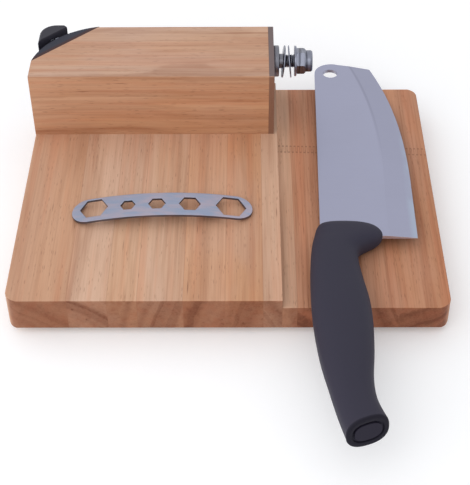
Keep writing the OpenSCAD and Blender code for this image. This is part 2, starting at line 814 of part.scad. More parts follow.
// A rounded loop across a section, set in from its surface
function section_ring(s, inset) = let (
    mid = [(s[0] + s[2]) / 2, (s[1] + s[3]) / 2],
    span = norm([s[2] - s[0], s[3] - s[1]]),
    dir = [s[2] - s[0], s[3] - s[1]] / span,
    w = span / 2 - inset, h = s[4] / 2 - inset, lean = s[5])
    [for (i = [0:ring_points - 1]) let (a = i * 360 / ring_points,
        c = sign(cos(a)) * pow(abs(cos(a)), section_power),
        v = sign(sin(a)) * pow(abs(sin(a)), section_power))
        [mid[0] + dir[0] * w * c - dir[1] * lean * h * v,
        mid[1] + dir[1] * w * c + dir[0] * lean * h * v, h * v]];

module handle_form(sections, inset) {
    skin([for (s = smooth_sections(sections)) section_ring(s, inset)]);
}

core_sections = [for (i = [core_from:len(handle_sections) - 1]) handle_sections[i]];

// An oval on the butt, as thick as stated each way from the butt's face
module butt_oval(inset, depth) {
    translate([butt_mid[0], butt_mid[1], 0]) rotate([0, 0, butt_a]) rotate([-atan(butt[5]), 0, 0])
        translate([0, depth, 0]) rotate([90, 0, 0]) linear_extrude(depth + past)
            polygon([for (i = [0:ring_points - 1]) let (a = i * 360 / ring_points)
                [(butt_w / 2 - inset) * sign(cos(a)) * pow(abs(cos(a)), section_power),
                (butt[4] / 2 - inset) * sign(sin(a)) * pow(abs(sin(a)), section_power)]]);
}

module handle_core() {
    color([0.26, 0.26, 0.28]) on_knife() difference() {
        handle_form(core_sections, grip_wall);
        tang_form(fixed_gap);
    }
}

module handle_grip() {
    color(dark_plastic) on_knife() difference() {
        handle_form(handle_sections, 0);
        handle_form(core_sections, grip_wall - fixed_gap);
        tang_form(fixed_gap);
        butt_oval(grip_wall - butt_groove_w, butt_groove_depth);
    }
}

module spanner() {
    drop = spanner_r - spanner_rise;
    color(steel) translate([spanner_mid[0], spanner_mid[1], board_t + rest_gap]) rotate(spanner_turn)
        difference() {
            intersection() {
                translate([0, past + spanner_w / 2, -drop]) rotate([90, 0, 0])
                    linear_extrude(spanner_w + 2 * past) arch_profile();
                translate([0, 0, -past]) linear_extrude(spanner_rise + spanner_t + 2 * past) spanner_plan();
            }
            for (i = [0:4]) translate([0, hex_offsets[i], -drop])
                rotate([0, asin(hex_places[i] * spanner_l / spanner_r), 0])
                    translate([0, 0, spanner_r - past])
                        cylinder(h = 2 * past, d = hex_sizes[i] / cos(30), $fn = 6);
        }
}

// The bent bar seen from its side, with the centre of the bend at the origin
module arch_profile() {
    intersection() {
        difference() {
            circle(r = spanner_r + spanner_t, $fn = 256);
            circle(r = spanner_r, $fn = 256);
        }
        translate([-spanner_l, spanner_r - spanner_rise - past])
            square([2 * spanner_l, spanner_rise + 3 * past]);
    }
}

module spanner_plan() {
    square([spanner_l - spanner_w, spanner_w], center = true);
    for (s = [-1, 1]) translate([s * (spanner_l - spanner_w) / 2, 0]) circle(d = spanner_w);
}

thick_stave(1, tan_wood);  // stave_1
thick_stave(2, light_wood);  // stave_2
thick_stave(3, tan_wood);  // stave_3
thick_stave(4, light_wood);  // stave_4
thick_stave(5, tan_wood);  // stave_5
thick_stave(6, tan_wood);  // stave_6
thick_stave(7, light_wood);  // stave_7
cutting_stave(step_x, pale_x, light_wood);  // pale_stave
cutting_stave(pale_x, pale_x + cutting_stave_1_w, red_wood);  // cutting_stave_1
cutting_stave(pale_x + cutting_stave_1_w, pale_x + cutting_stave_1_w + cutting_stave_2_w, red_wood);  // cutting_stave_2
cutting_stave(pale_x + cutting_stave_1_w + cutting_stave_2_w, right_x, red_wood);  // cutting_stave_3
rubber_feet();
foot_screws();
pivot_block();
block_screws();
end_plate();
plate_screws();
thread_insert();
pivot_stud();
inner_washer();
outer_washer();
nut_washer();
lock_nut();
nut_ring();
sharpener_base();
sharpener_guard();
cutter_holder();
cutter_front();
cutter_back();
base_screws();
guard_screw();
knife_blade();
handle_core();
handle_grip();
spanner();
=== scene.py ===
"""Dresses the biltong slicer: finishes for every piece, and finer shapes for the worked metal and the handle."""

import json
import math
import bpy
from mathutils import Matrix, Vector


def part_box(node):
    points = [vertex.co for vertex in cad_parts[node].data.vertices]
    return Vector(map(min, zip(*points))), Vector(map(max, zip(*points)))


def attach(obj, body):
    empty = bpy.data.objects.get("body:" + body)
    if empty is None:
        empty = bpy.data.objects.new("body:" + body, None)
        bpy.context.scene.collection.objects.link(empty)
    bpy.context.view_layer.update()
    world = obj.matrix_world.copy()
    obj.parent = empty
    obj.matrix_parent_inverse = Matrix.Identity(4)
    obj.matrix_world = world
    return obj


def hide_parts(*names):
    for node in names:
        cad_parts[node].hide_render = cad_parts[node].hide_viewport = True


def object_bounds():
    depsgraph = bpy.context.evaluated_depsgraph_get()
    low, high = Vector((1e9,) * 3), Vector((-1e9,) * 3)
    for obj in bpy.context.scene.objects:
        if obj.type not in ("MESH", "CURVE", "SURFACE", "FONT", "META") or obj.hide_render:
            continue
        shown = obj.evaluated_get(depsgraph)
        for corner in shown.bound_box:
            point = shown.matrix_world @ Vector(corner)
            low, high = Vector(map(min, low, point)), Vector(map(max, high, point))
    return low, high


bl_info = {
    "name": "Biltong Slicer",
    "version": (1, 0, 0),
    "blender": (4, 5, 0),
    "location": "View3D > Sidebar > Slicer",
    "description": "Finishes and fine shapes of a biltong slicer with a board, knife, sharpener and spanner",
    "category": "Object",
}

import bmesh
import bpy
from bpy.props import FloatProperty, FloatVectorProperty, IntProperty, PointerProperty
from mathutils import Matrix, Vector

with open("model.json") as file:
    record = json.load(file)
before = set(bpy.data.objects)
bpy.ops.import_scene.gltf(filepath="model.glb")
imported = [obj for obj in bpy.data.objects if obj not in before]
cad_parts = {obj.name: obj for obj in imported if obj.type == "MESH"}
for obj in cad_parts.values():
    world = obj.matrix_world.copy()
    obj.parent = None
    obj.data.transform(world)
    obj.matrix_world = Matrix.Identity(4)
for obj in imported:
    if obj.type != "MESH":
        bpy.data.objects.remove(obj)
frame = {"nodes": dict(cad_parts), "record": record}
CAD_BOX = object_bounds()
MM = 0.001


def painted(red, green, blue):
    """A colour as seen on the object, 0 to 255 a channel, in the scene's linear light."""
    return tuple((c / 255 / 12.92) if c < 10.3 else ((c / 255 + 0.055) / 1.055) ** 2.4 for c in (red, green, blue))


def colour(name, what, value):
    return FloatVectorProperty(name=name, description=what, default=value, subtype="COLOR", min=0, max=1)


def length(name, what, value):
    return FloatProperty(name=name, description=what, default=value, min=0, unit="LENGTH", precision=5)


def share(name, what, value, top=1.0):
    return FloatProperty(name=name, description=what, default=value, min=0, max=top, subtype="FACTOR")


# Sizes and colours that a user would change


class WoodLook(bpy.types.PropertyGroup):
    tan: colour("Tan", "Pale tone of the tan staves", painted(209, 164, 134))
    light: colour("Light", "Pale tone of the lighter staves", painted(214, 176, 150))
    red: colour("Red", "Pale tone of the cutting side", painted(198, 145, 115))
    shaded: colour("Shaded", "Pale tone of the narrow stave by the step", painted(221, 179, 150))
    block: colour("Block", "Pale tone of the block", painted(208, 172, 149))
    vein: colour("Vein", "Dark tone of the grain", painted(146, 94, 64))
    pore: colour("Pore", "Colour of the open pores", painted(112, 72, 50))
    gold: colour("Gold", "What the golden patches multiply the tone by", (1.0, 0.88, 0.68))
    rose: colour("Rose", "What the rosy streaks multiply the tone by", (1.0, 0.85, 0.78))
    end_tone: colour("End tone", "What the end grain multiplies the tone by", (0.59, 0.44, 0.365))
    ring_gap: length("Ring gap", "Distance between two growth bands of the board", 0.011)
    block_gap: length("Block gap", "Distance between two growth bands of the block", 0.009)
    joint_place: length("Joint place", "Distance of the finger joint behind the board's middle", 0.0332)
    joint_length: length("Joint length", "Length of the fingers of the joint", 0.0054)
    joint_pitch: length("Joint pitch", "Distance from finger to finger", 0.0022)


class MetalLook(bpy.types.PropertyGroup):
    blade: colour("Blade", "Colour of the satin blade", painted(163, 165, 187))
    zinc: colour("Zinc", "Colour of the plated nut and washers", painted(136, 139, 153))
    stud: colour("Stud", "Colour of the turned stud", painted(125, 126, 135))
    plate: colour("Plate", "Colour of the block's end plate", painted(128, 114, 114))
    spanner: colour("Spanner", "Colour of the punched spanner", painted(174, 168, 184))
    screw: colour("Screw", "Colour of the screws", painted(170, 168, 165))
    brass: colour("Brass", "Colour of the threaded insert", painted(196, 168, 104))
    edge_round: length("Edge round", "Round along the edges of the worked metal", 0.00022)


class PlasticLook(bpy.types.PropertyGroup):
    grip: colour("Grip", "Colour of the soft grip", painted(55, 53, 66))
    core: colour("Core", "Colour of the handle's core", painted(40, 37, 50))
    base: colour("Base", "Colour of the sharpener's base", painted(36, 39, 55))
    guard: colour("Guard", "Colour of the sharpener's guard", painted(48, 47, 57))
    rubber: colour("Rubber", "Colour of the feet", painted(46, 46, 49))
    nylon: colour("Nylon", "Colour of the nut's ring", painted(206, 210, 220))


class HandleLook(bpy.types.PropertyGroup):
    wall: length("Wall", "Thickness of the soft grip", 0.0038)
    groove: length("Groove", "Width of the groove at the butt", 0.0011)
    groove_depth: length("Groove depth", "Depth of the groove at the butt", 0.0012)
    lip: length("Lip", "Round of the butt's rim", 0.0012)
    points: IntProperty(name="Points", description="Points round each ring of the grip", default=56, min=16, max=96)


class StageLook(bpy.types.PropertyGroup):
    camera_place: FloatVectorProperty(
        name="Camera", description="Place of the camera", default=(0.00845, -0.5229, 0.46), subtype="TRANSLATION"
    )
    pitch: FloatProperty(name="Pitch", description="How far the camera looks down", default=math.radians(42.9), subtype="ANGLE")
    yaw: FloatProperty(name="Yaw", description="Turn of the camera to the right", default=math.radians(-0.63), subtype="ANGLE")
    roll: FloatProperty(name="Roll", description="Roll of the camera", default=math.radians(-0.53), subtype="ANGLE")
    lens: FloatProperty(name="Lens", description="Focal length in millimetres", default=92.39, min=10)
    sky: share("Sky", "Strength of the white surroundings", 0.86, 2)
    lamp: FloatProperty(name="Lamp", description="Power of the soft lamp above the camera, in watts", default=2.4, min=0)
    side_lamp: FloatProperty(name="Side lamp", description="Power of the soft lamp on the left, in watts", default=0.9, min=0)


class SlicerLook(bpy.types.PropertyGroup):
    wood: PointerProperty(type=WoodLook)
    metal: PointerProperty(type=MetalLook)
    plastic: PointerProperty(type=PlasticLook)
    handle: PointerProperty(type=HandleLook)
    stage: PointerProperty(type=StageLook)


def look():
    return bpy.context.scene.slicer


# Drawing node trees


class Sketch:
    """Draws a node tree from left to right, one node at a time."""

    def __init__(self, tree):
        self.tree = tree
        self.column = 0

    def add(self, kind, *inputs, **settings):
        """Adds a node. Inputs fill its sockets in order, None skips one, and names may be settings or sockets."""
        node = self.tree.nodes.new(kind)
        node.location = (self.column * 190, -(self.column % 5) * 120)
        self.column += 1
        for name, value in settings.items():
            if hasattr(node, name):
                setattr(node, name, value)
        for place, value in enumerate(inputs):
            self.feed(node.inputs[place], value)
        for name, value in settings.items():
            if not hasattr(node, name):
                self.feed(node.inputs[name.replace("_", " ")], value)
        return node

    def feed(self, socket, value):
        if value is None:
            return
        if isinstance(value, bpy.types.Node):
            value = next(s for s in value.outputs if s.enabled)
        if isinstance(value, bpy.types.NodeSocket):
            self.tree.links.new(value, socket)
        elif hasattr(socket.default_value, "__len__") and hasattr(value, "__len__") and len(socket.default_value) == 4:
            socket.default_value = (*value[:3], 1)
        else:
            socket.default_value = value

    def math(self, operation, *inputs, clamp=False):
        return self.add("ShaderNodeMath", *inputs, operation=operation, use_clamp=clamp).outputs[0]

    def vector(self, operation, *inputs):
        node = self.add("ShaderNodeVectorMath", *inputs, operation=operation)
        return node.outputs["Value" if operation in ("DOT_PRODUCT", "LENGTH", "DISTANCE") else "Vector"]

    def mix(self, factor, first, second, blend_type="MIX"):
        """Mixes two colours."""
        node = self.add("ShaderNodeMix", data_type="RGBA", blend_type=blend_type)
        for socket, value in zip((node.inputs[0], node.inputs[6], node.inputs[7]), (factor, first, second)):
            self.feed(socket, value)
        return node.outputs[2]

    def span(self, value, low, high, to_low=0.0, to_high=1.0):
        """Maps low..high to another span, smoothly and clamped."""
        return self.add(
            "ShaderNodeMapRange", value, low, high, to_low, to_high, interpolation_type="SMOOTHSTEP"
        ).outputs[0]

    def noise(self, vector, scale, detail=2.0, roughness=0.5, distortion=0.0):
        return self.add("ShaderNodeTexNoise", vector, None, scale, detail, roughness, Distortion=distortion).outputs["Fac"]

    def stretched(self, vector, scale, shift=(0, 0, 0)):
        return self.add("ShaderNodeMapping", vector, shift, None, scale).outputs[0]


SOCKETS = {float: "NodeSocketFloat", tuple: "NodeSocketColor", Vector: "NodeSocketVector"}


def shader_group(name, inputs, outputs):
    """An empty shader group with named sockets, and its inputs and outputs."""
    tree = bpy.data.node_groups.new(name, "ShaderNodeTree")
    for title, value in inputs.items():
        socket = tree.interface.new_socket(title, in_out="INPUT", socket_type=SOCKETS[type(value)])
        socket.default_value = (*value, 1) if isinstance(value, tuple) else value
    for title, value in outputs.items():
        tree.interface.new_socket(title, in_out="OUTPUT", socket_type=SOCKETS[value])
    sketch = Sketch(tree)
    source = sketch.add("NodeGroupInput")
    sink = tree.nodes.new("NodeGroupOutput")
    sink.location = (4000, 0)
    return tree, sketch, source.outputs, sink.inputs


def wood_group():
    """Solid wood with its grain along Y: growth bands, fibres, short dashes, a few veins and slow changes of tone."""
    tree, s, given, out = shader_group(
        "wood grain",
        {
            "Vector": Vector(), "Pale": (0.6, 0.4, 0.3), "Vein": (0.3, 0.15, 0.1), "Pore": (0.1, 0.06, 0.04),
            "Gold": (1.0, 0.9, 0.7), "Rose": (1.0, 0.9, 0.8), "End Tone": (0.6, 0.4, 0.3), "Seed": 0.0,
            "Pith": Vector((0.05, 0, -0.06)), "Ring Gap": 0.011, "Sway": 0.014, "Bands": 0.4, "Fibres": 0.3,
            "Golden": 0.5, "Pores": 0.5, "End": 0.0,
        },
        {"Color": tuple, "Roughness": float, "Height": float},
    )
    drift = s.add("ShaderNodeCombineXYZ", given["Seed"], given["Seed"], given["Seed"])
    place = s.vector("ADD", given["Vector"], drift)
    # Growth bands run round the pith, which wanders a little along the grain
    sway = s.noise(s.stretched(place, (22, 9, 22)), 1.0, 4.0, 0.55)
    centred = s.vector("SUBTRACT", given["Vector"], given["Pith"])
    across = s.vector("LENGTH", s.vector("MULTIPLY", centred, (1, 0, 1)))
    swayed = s.math("ADD", across, s.math("MULTIPLY", sway, given["Sway"]))
    turn = s.math("ADD", s.math("DIVIDE", swayed, given["Ring Gap"]), given["Seed"])
    band = s.add("ShaderNodeTexNoise", noise_dimensions="1D", W=turn, Scale=1.0, Detail=1.6, Roughness=0.5).outputs["Fac"]
    late = s.add(
        "ShaderNodeTexNoise", noise_dimensions="1D", W=s.math("ADD", turn, 31.7), Scale=1.5, Detail=1.0, Roughness=0.5
    ).outputs["Fac"]
    bands = s.math("ADD", s.span(band, 0.34, 0.70), s.math("MULTIPLY", s.span(late, 0.60, 0.68), 0.5))
    # Fibres and streaks run straight along the grain
    fibre = s.noise(s.stretched(place, (1150, 24, 1150)), 1.0, 3.0, 0.65)
    streak = s.noise(s.stretched(place, (300, 6, 300)), 1.0, 3.0, 0.6)
    cloud = s.noise(s.stretched(place, (46, 12, 46)), 1.0, 3.0)
    # Open pores: short dashes along the grain, of all sizes and in loose crowds
    cells = s.add("ShaderNodeTexVoronoi", s.stretched(place, (1500, 190, 1500)), Scale=1.0, Randomness=1.0)
    lots = s.add("ShaderNodeSeparateColor", cells.outputs["Color"])
    crowd = s.span(s.noise(s.stretched(place, (110, 22, 110)), 1.0, 3.0, 0.6), 0.40, 0.66, 0.10, 0.80)
    off = s.math("ADD", cells.outputs["Distance"], s.math("MULTIPLY", lots.outputs[1], 0.26))
    pore = s.math("MULTIPLY", s.span(off, 0.12, 0.50, 0.60, 0.0), s.math("LESS_THAN", lots.outputs[0], crowd))
    # Longer, rarer and darker dashes
    long_cells = s.add("ShaderNodeTexVoronoi", s.stretched(place, (640, 46, 640), (3, 1, 2)), Scale=1.0, Randomness=1.0)
    lots = s.add("ShaderNodeSeparateColor", long_cells.outputs["Color"])
    off = s.math("ADD", long_cells.outputs["Distance"], s.math("MULTIPLY", lots.outputs[0], 0.12))
    dash = s.math("MULTIPLY", s.span(off, 0.06, 0.30, 0.9, 0.0), s.math("LESS_THAN", lots.outputs[1], 0.04))
    # Dark veins, which come and go along the grain
    vein = s.span(s.noise(s.stretched(place, (330, 5, 330), (5, 5, 5)), 1.0, 2.0, 0.5), 0.665, 0.71)
    vein = s.math("MULTIPLY", vein, s.span(s.noise(s.stretched(place, (30, 14, 30)), 1.0, 1.0), 0.45, 0.6))
    # The bands stand out on the end grain
    grained = s.math("MULTIPLY", bands, s.math("MULTIPLY", given["Bands"], s.span(given["End"], 0.0, 1.0, 1.0, 2.8)))
    grained = s.math("ADD", grained, s.math("MULTIPLY", s.span(fibre, 0.40, 0.72), s.math("MULTIPLY", given["Fibres"], 0.7)))
    grained = s.math("ADD", grained, s.math("MULTIPLY", s.span(streak, 0.45, 0.70), s.math("MULTIPLY", given["Fibres"], 0.8)))
    grained = s.math("ADD", grained, s.math("MULTIPLY", vein, 0.36))
    grained = s.math("ADD", grained, s.math("MULTIPLY", s.span(cloud, 0.40, 0.70), 0.10), clamp=True)
    tone = s.mix(grained, given["Pale"], given["Vein"])
    # Rosy streaks and golden patches
    rosy = s.noise(s.stretched(place, (190, 5, 190), (2, 9, 4)), 1.0, 3.0, 0.55)
    tone = s.mix(s.span(rosy, 0.42, 0.68, 0.0, 0.7), tone, s.mix(1.0, tone, given["Rose"], "MULTIPLY"))
    warm = s.noise(s.stretched(given["Vector"], (34, 12, 34), (4, 7, 1)), 1.0, 3.0)
    golden = s.math("MULTIPLY", s.span(warm, 0.38, 0.62), given["Golden"])
    tone = s.mix(golden, tone, s.mix(1.0, tone, given["Gold"], "MULTIPLY"))
    marks = s.math("MULTIPLY", s.math("MAXIMUM", pore, dash), given["Pores"])
    marks = s.math("MULTIPLY", marks, s.span(given["End"], 0.0, 1.0, 1.0, 0.2))
    tone = s.mix(marks, tone, given["Pore"])
    # The end grain drinks the oil and turns darker and redder; part of the darkening is painted shade on the board's
    # front edge
    tone = s.mix(given["End"], tone, s.mix(1.0, tone, given["End Tone"], "MULTIPLY"))
    s.feed(out["Color"], tone)
    rough = s.math("ADD", 0.46, s.math("MULTIPLY", fibre, 0.16))
    s.feed(out["Roughness"], s.math("ADD", rough, s.math("MULTIPLY", marks, 0.2), clamp=True))
    relief = s.math("SUBTRACT", s.math("MULTIPLY", fibre, 0.35), s.math("MULTIPLY", marks, 0.9))
    s.feed(out["Height"], relief)
    return tree


def brushed_group():
    """Fine scratches along one direction, with slow smudges, for worked metal."""
    tree, s, given, out = shader_group(
        "brushed",
        {"Vector": Vector(), "Stretch": Vector((3000, 60, 3000)), "Amount": 0.5, "Roughness": 0.35},
        {"Tone": float, "Roughness": float, "Height": float},
    )
    fine = s.noise(s.vector("MULTIPLY", given["Vector"], given["Stretch"]), 1.0, 3.0, 0.7)
    smudge = s.noise(given["Vector"], 42.0, 2.0, 0.6)
    spread = s.math("MULTIPLY", s.math("SUBTRACT", fine, 0.5), given["Amount"])
    s.feed(out["Tone"], s.math("ADD", s.math("ADD", 0.97, s.math("MULTIPLY", spread, 0.35)),
                               s.math("MULTIPLY", s.math("SUBTRACT", smudge, 0.5), 0.09)))
    s.feed(out["Roughness"], s.math("ADD", s.math("ADD", given["Roughness"], s.math("MULTIPLY", spread, 0.25)),
                                    s.math("MULTIPLY", s.math("SUBTRACT", smudge, 0.5), 0.12), clamp=True))
    s.feed(out["Height"], fine)
    return tree


def moulded_group():
    """The fine spark-eroded grain of a moulding, with a little handling on it."""
    tree, s, given, out = shader_group(
        "moulded",
        {"Vector": Vector(), "Grain": 2200.0, "Roughness": 0.5},
        {"Tone": float, "Roughness": float, "Height": float},
    )
    grain = s.add("ShaderNodeTexNoise", given["Vector"], None, given["Grain"], 3.0, 0.6).outputs["Fac"]
    worn = s.noise(given["Vector"], 36.0, 3.0, 0.6)
    s.feed(out["Tone"], s.math("ADD", 0.9, s.math("ADD", s.math("MULTIPLY", grain, 0.12), s.math("MULTIPLY", worn, 0.08))))
    s.feed(out["Roughness"], s.math("ADD", given["Roughness"], s.math("MULTIPLY", s.math("SUBTRACT", worn, 0.5), 0.22), clamp=True))
    s.feed(out["Height"], grain)
    return tree


GROUPS = {}


def group(name):
    """The shader group of that name, built the first time that it is asked for."""
    if name not in GROUPS:
        GROUPS[name] = {"wood": wood_group, "brushed": brushed_group, "moulded": moulded_group}[name]()
    return GROUPS[name]


def new_material(name):
    material = bpy.data.materials.new(name)
    material.use_nodes = True
    material.node_tree.nodes.clear()
    sketch = Sketch(material.node_tree)
    sketch.place = sketch.add("ShaderNodeTexCoord").outputs["Object"]
    return material, sketch


def finish_material(sketch, colour_value, roughness, height, bump, bump_distance, **principled):
    """Joins the pieces of a finish to a Principled shader and the output."""
    raised = sketch.add("ShaderNodeBump", Strength=bump, Distance=bump_distance, Height=height)
    shader = sketch.add("ShaderNodeBsdfPrincipled", Base_Color=colour_value, Roughness=roughness, Normal=raised, **principled)
    sketch.add("ShaderNodeOutputMaterial", shader)


def tinted(sketch, tone, value):
    """A colour made lighter or darker by a tone."""
    grey = sketch.add("ShaderNodeCombineColor", tone, tone, tone).outputs[0]
    return sketch.mix(1.0, grey, value, "MULTIPLY")


def end_mask(sketch, along):
    """One where the surface shows end grain, for grain along a direction."""
    normal = sketch.add("ShaderNodeTexCoord").outputs["Normal"]
    facing = sketch.math("ABSOLUTE", sketch.vector("DOT_PRODUCT", normal, along))
    return sketch.span(facing, 0.45, 0.85)


def facing(s, tone, way, factor, least=0.4, most=0.8):
    """Multiplies the tone of the faces that are turned one way, which paints light or shade on them."""
    normal = s.add("ShaderNodeTexCoord").outputs["Normal"]
    turned = s.span(s.vector("DOT_PRODUCT", normal, way), least, most)
    return s.mix(turned, tone, s.mix(1.0, tone, factor, "MULTIPLY"))


def painted_bounce_light(s, tone, bounce_tint):
    """Paints bounce light on the faces turned to the front, tinting them with the colour of the board before them."""
    return facing(s, tone, (0, -1, 0), bounce_tint)


def wood(name, pale, seed, pith, gap, golden, sway=0.014, bands=0.16, fibres=0.24, along=(0, 1, 0), sides=None,
         jointed=False, bounce_tint=None):
    """Oiled wood. Sides are the places along X of its edges against the next piece."""
    tones = look().wood
    material, s = new_material(name)
    place = s.place
    if along[0]:
        place = s.add("ShaderNodeMapping", place, None, (0, 0, math.pi / 2)).outputs[0]
    grain = s.add("ShaderNodeGroup", node_tree=group("wood"))
    for title, value in {
        "Vector": place, "Pale": pale, "Vein": tones.vein, "Pore": tones.pore, "Gold": tones.gold,
        "Rose": tones.rose, "End Tone": tones.end_tone, "Seed": seed, "Pith": pith, "Ring Gap": gap, "Sway": sway,
        "Bands": bands, "Fibres": fibres, "Golden": golden, "Pores": 0.66, "End": end_mask(s, along),
    }.items():
        s.feed(grain.inputs[title], value)
    tone = grain.outputs["Color"]
    if sides:
        x = s.add("ShaderNodeSeparateXYZ", s.place).outputs[0]
        near = [s.math("ABSOLUTE", s.math("SUBTRACT", x, side)) for side in sides]
        glue = s.span(s.math("MINIMUM", near[0], near[-1]), 0.0, 0.00035, 0.30, 0.0)
        tone = s.mix(glue, tone, tones.vein)
    if jointed:
        tone = s.mix(finger_joint(s), tone, tones.pore)
    # Painted bounce light: the faces turned to the front take a tint from the board
    if bounce_tint:
        tone = painted_bounce_light(s, tone, bounce_tint)
    finish_material(
        s, tone, grain.outputs["Roughness"], grain.outputs["Height"], 0.25, 0.0002, IOR=1.45, Specular_IOR_Level=0.35
    )
    return material


def finger_joint(s):
    """A fine finger joint across the cutting side: the dark tips of its fingers in two rows, and their faint flanks."""
    tones = look().wood
    parts = s.add("ShaderNodeSeparateXYZ", s.place)
    beat = s.math("FRACT", s.math("DIVIDE", parts.outputs[0], tones.joint_pitch))
    slant = s.math("MULTIPLY", s.math("SUBTRACT", parts.outputs[0], 0.06), -0.037)
    lead = s.math("SUBTRACT", s.math("SUBTRACT", parts.outputs[1], tones.joint_place), slant)
    reach = s.math("ADD", s.math("DIVIDE", lead, tones.joint_length), 0.5)
    front = s.math("MULTIPLY", s.span(s.math("ABSOLUTE", reach), 0.05, 0.16, 1.0, 0.0), s.math("LESS_THAN", beat, 0.5))
    past_back = s.math("ABSOLUTE", s.math("SUBTRACT", reach, 1.0))
    back = s.math("MULTIPLY", s.span(past_back, 0.05, 0.16, 1.0, 0.0), s.math("GREATER_THAN", beat, 0.5))
    from_flank = s.math("ABSOLUTE", s.math("SUBTRACT", s.math("FRACT", s.math("MULTIPLY", beat, 2.0)), 0.5))
    between = s.math("LESS_THAN", s.math("ABSOLUTE", s.math("SUBTRACT", reach, 0.5)), 0.5)
    flank = s.math("MULTIPLY", s.math("MULTIPLY", s.span(from_flank, 0.25, 0.5), between), 0.55)
    return s.math("MULTIPLY", s.math("MAXIMUM", s.math("MAXIMUM", front, back), flank), 0.5)


def metal(name, value, roughness=0.35, stretch=(3000, 60, 3000), amount=0.5, bump=0.06, worked=None):
    """Worked metal, brushed along the direction of its smallest stretch. Worked may change the tone."""
    material, s = new_material(name)
    brushed = s.add("ShaderNodeGroup", node_tree=group("brushed"))
    for title, given in {"Vector": s.place, "Stretch": stretch, "Amount": amount, "Roughness": roughness}.items():
        s.feed(brushed.inputs[title], given)
    tone = tinted(s, brushed.outputs["Tone"], value)
    if worked:
        tone = worked(s, tone)
    finish_material(s, tone, brushed.outputs["Roughness"], brushed.outputs["Height"], bump, 0.00005, Metallic=1.0)
    return material


def painted_reflection_and_shade(s, tone):
    """Bluish and warmer patches along the bar, a painted reflection as polished steel mirrors a room, darker streaks
    along it, and painted shade on the punched sides and the walls of the holes.
    """
    # Painted reflection: bluish patches, as polished steel mirrors a room
    patches = s.noise(s.stretched(s.place, (75, 260, 60)), 1.0, 2.0, 0.55)
    cool = s.mix(1.0, tone, (0.74, 0.94, 1.04), "MULTIPLY")
    lines = s.span(s.noise(s.stretched(s.place, (30, 900, 30)), 1.0, 2.0, 0.6), 0.50, 0.72, 0.0, 0.35)
    tone = s.mix(lines, s.mix(s.span(patches, 0.34, 0.66, 0.0, 0.95), tone, cool), (0.36, 0.38, 0.50))
    # Painted shade on the faces that are not flat: the punched sides and the walls of the holes
    normal = s.add("ShaderNodeTexCoord").outputs["Normal"]
    flat = s.span(s.math("ABSOLUTE", s.vector("DOT_PRODUCT", normal, (0, 0, 1))), 0.3, 0.8, 0.45, 1.0)
    return s.mix(flat, (0.02, 0.02, 0.03), tone)


def painted_board_reflection(s, tone):
    """Paints a reflection of the board on the plate's front edge, which turns it lighter and browner."""
    return painted_bounce_light(s, tone, (1.80, 1.39, 1.0))


def under_lit(s, tone):
    """Painted reflection: paler and bluer lower faces, which stay lilac over the brown board that they mirror."""
    return facing(s, tone, (0, 0, -1), (2.1, 2.5, 3.1), 0.05, 0.40)


def plated(s, tone):
    """Painted reflection: light and dark streaks round the nut, as bright plating mirrors a room."""
    streaks = s.noise(s.stretched(s.place, (620, 45, 45)), 1.0, 2.0, 0.6)
    return s.mix(s.span(streaks, 0.38, 0.60, 0.62, 0.0), tone, (0.02, 0.022, 0.035))


def ground(s, tone):
    """Darkens the blade's ground bevel, partly for its grind and partly as a painted reflection, with a fine line where
    it starts, and paints a pale highlight along the edge and bounce light on the faces turned to the front.
    """
    back = knife_place().inverted()
    place = s.add("ShaderNodeMapping", s.place, back.to_translation(), back.to_euler()).outputs[0]
    parts = s.add("ShaderNodeSeparateXYZ", place)
    past_belly = s.math("MAXIMUM", s.math("ADD", parts.outputs[1], 0.120), 0.0)
    curve = s.math("POWER", s.math("DIVIDE", past_belly, 0.1262), 2.6)
    start = s.math("SUBTRACT", 0.0258, s.math("MULTIPLY", curve, 0.0167))
    start = s.math("ADD", start, s.math("MULTIPLY", s.math("DIVIDE", past_belly, 0.1307), 0.0038))
    off = s.math("SUBTRACT", parts.outputs[0], start)
    # The bevel's darkening: its grind, and partly a painted reflection
    shade = s.math("MULTIPLY", s.span(off, 0.0, 0.0006, 0.0, 0.07), s.span(parts.outputs[1], -0.13, -0.04, 0.3, 1.0))
    tone = s.mix(shade, tone, (0.0, 0.0, 0.0))
    line = s.math("MULTIPLY", s.span(s.math("ABSOLUTE", off), 0.0001, 0.0012, 0.20, 0.0), s.span(parts.outputs[1], -0.10, -0.02))
    tone = s.mix(line, tone, (0.05, 0.05, 0.08))
    # A painted highlight along the edge, broken up by noise
    shine = s.math("MULTIPLY", s.span(off, 0.0105, 0.0145), s.span(parts.outputs[1], -0.09, -0.02, 1.0, 0.0))
    broken = s.span(s.noise(s.stretched(place, (160, 45, 160)), 1.0, 2.0), 0.36, 0.60, 0.10, 0.42)
    return painted_bounce_light(s, s.mix(s.math("MULTIPLY", shine, broken), tone, (0.42, 0.53, 0.64)), (1.7, 1.7, 1.55))


def plastic(name, value, roughness=0.5, grain=2200.0, bump=0.15, worked=None, mirrored=0.25):
    """Moulded plastic or rubber. Worked may change the tone."""
    material, s = new_material(name)
    moulded = s.add("ShaderNodeGroup", node_tree=group("moulded"))
    for title, given in {"Vector": s.place, "Grain": grain, "Roughness": roughness}.items():
        s.feed(moulded.inputs[title], given)
    tone = tinted(s, moulded.outputs["Tone"], value)
    if worked:
        tone = worked(s, tone)
    height = moulded.outputs["Height"]
    finish_material(s, tone, moulded.outputs["Roughness"], height, bump, 0.0001, Specular_IOR_Level=mirrored)
    return material


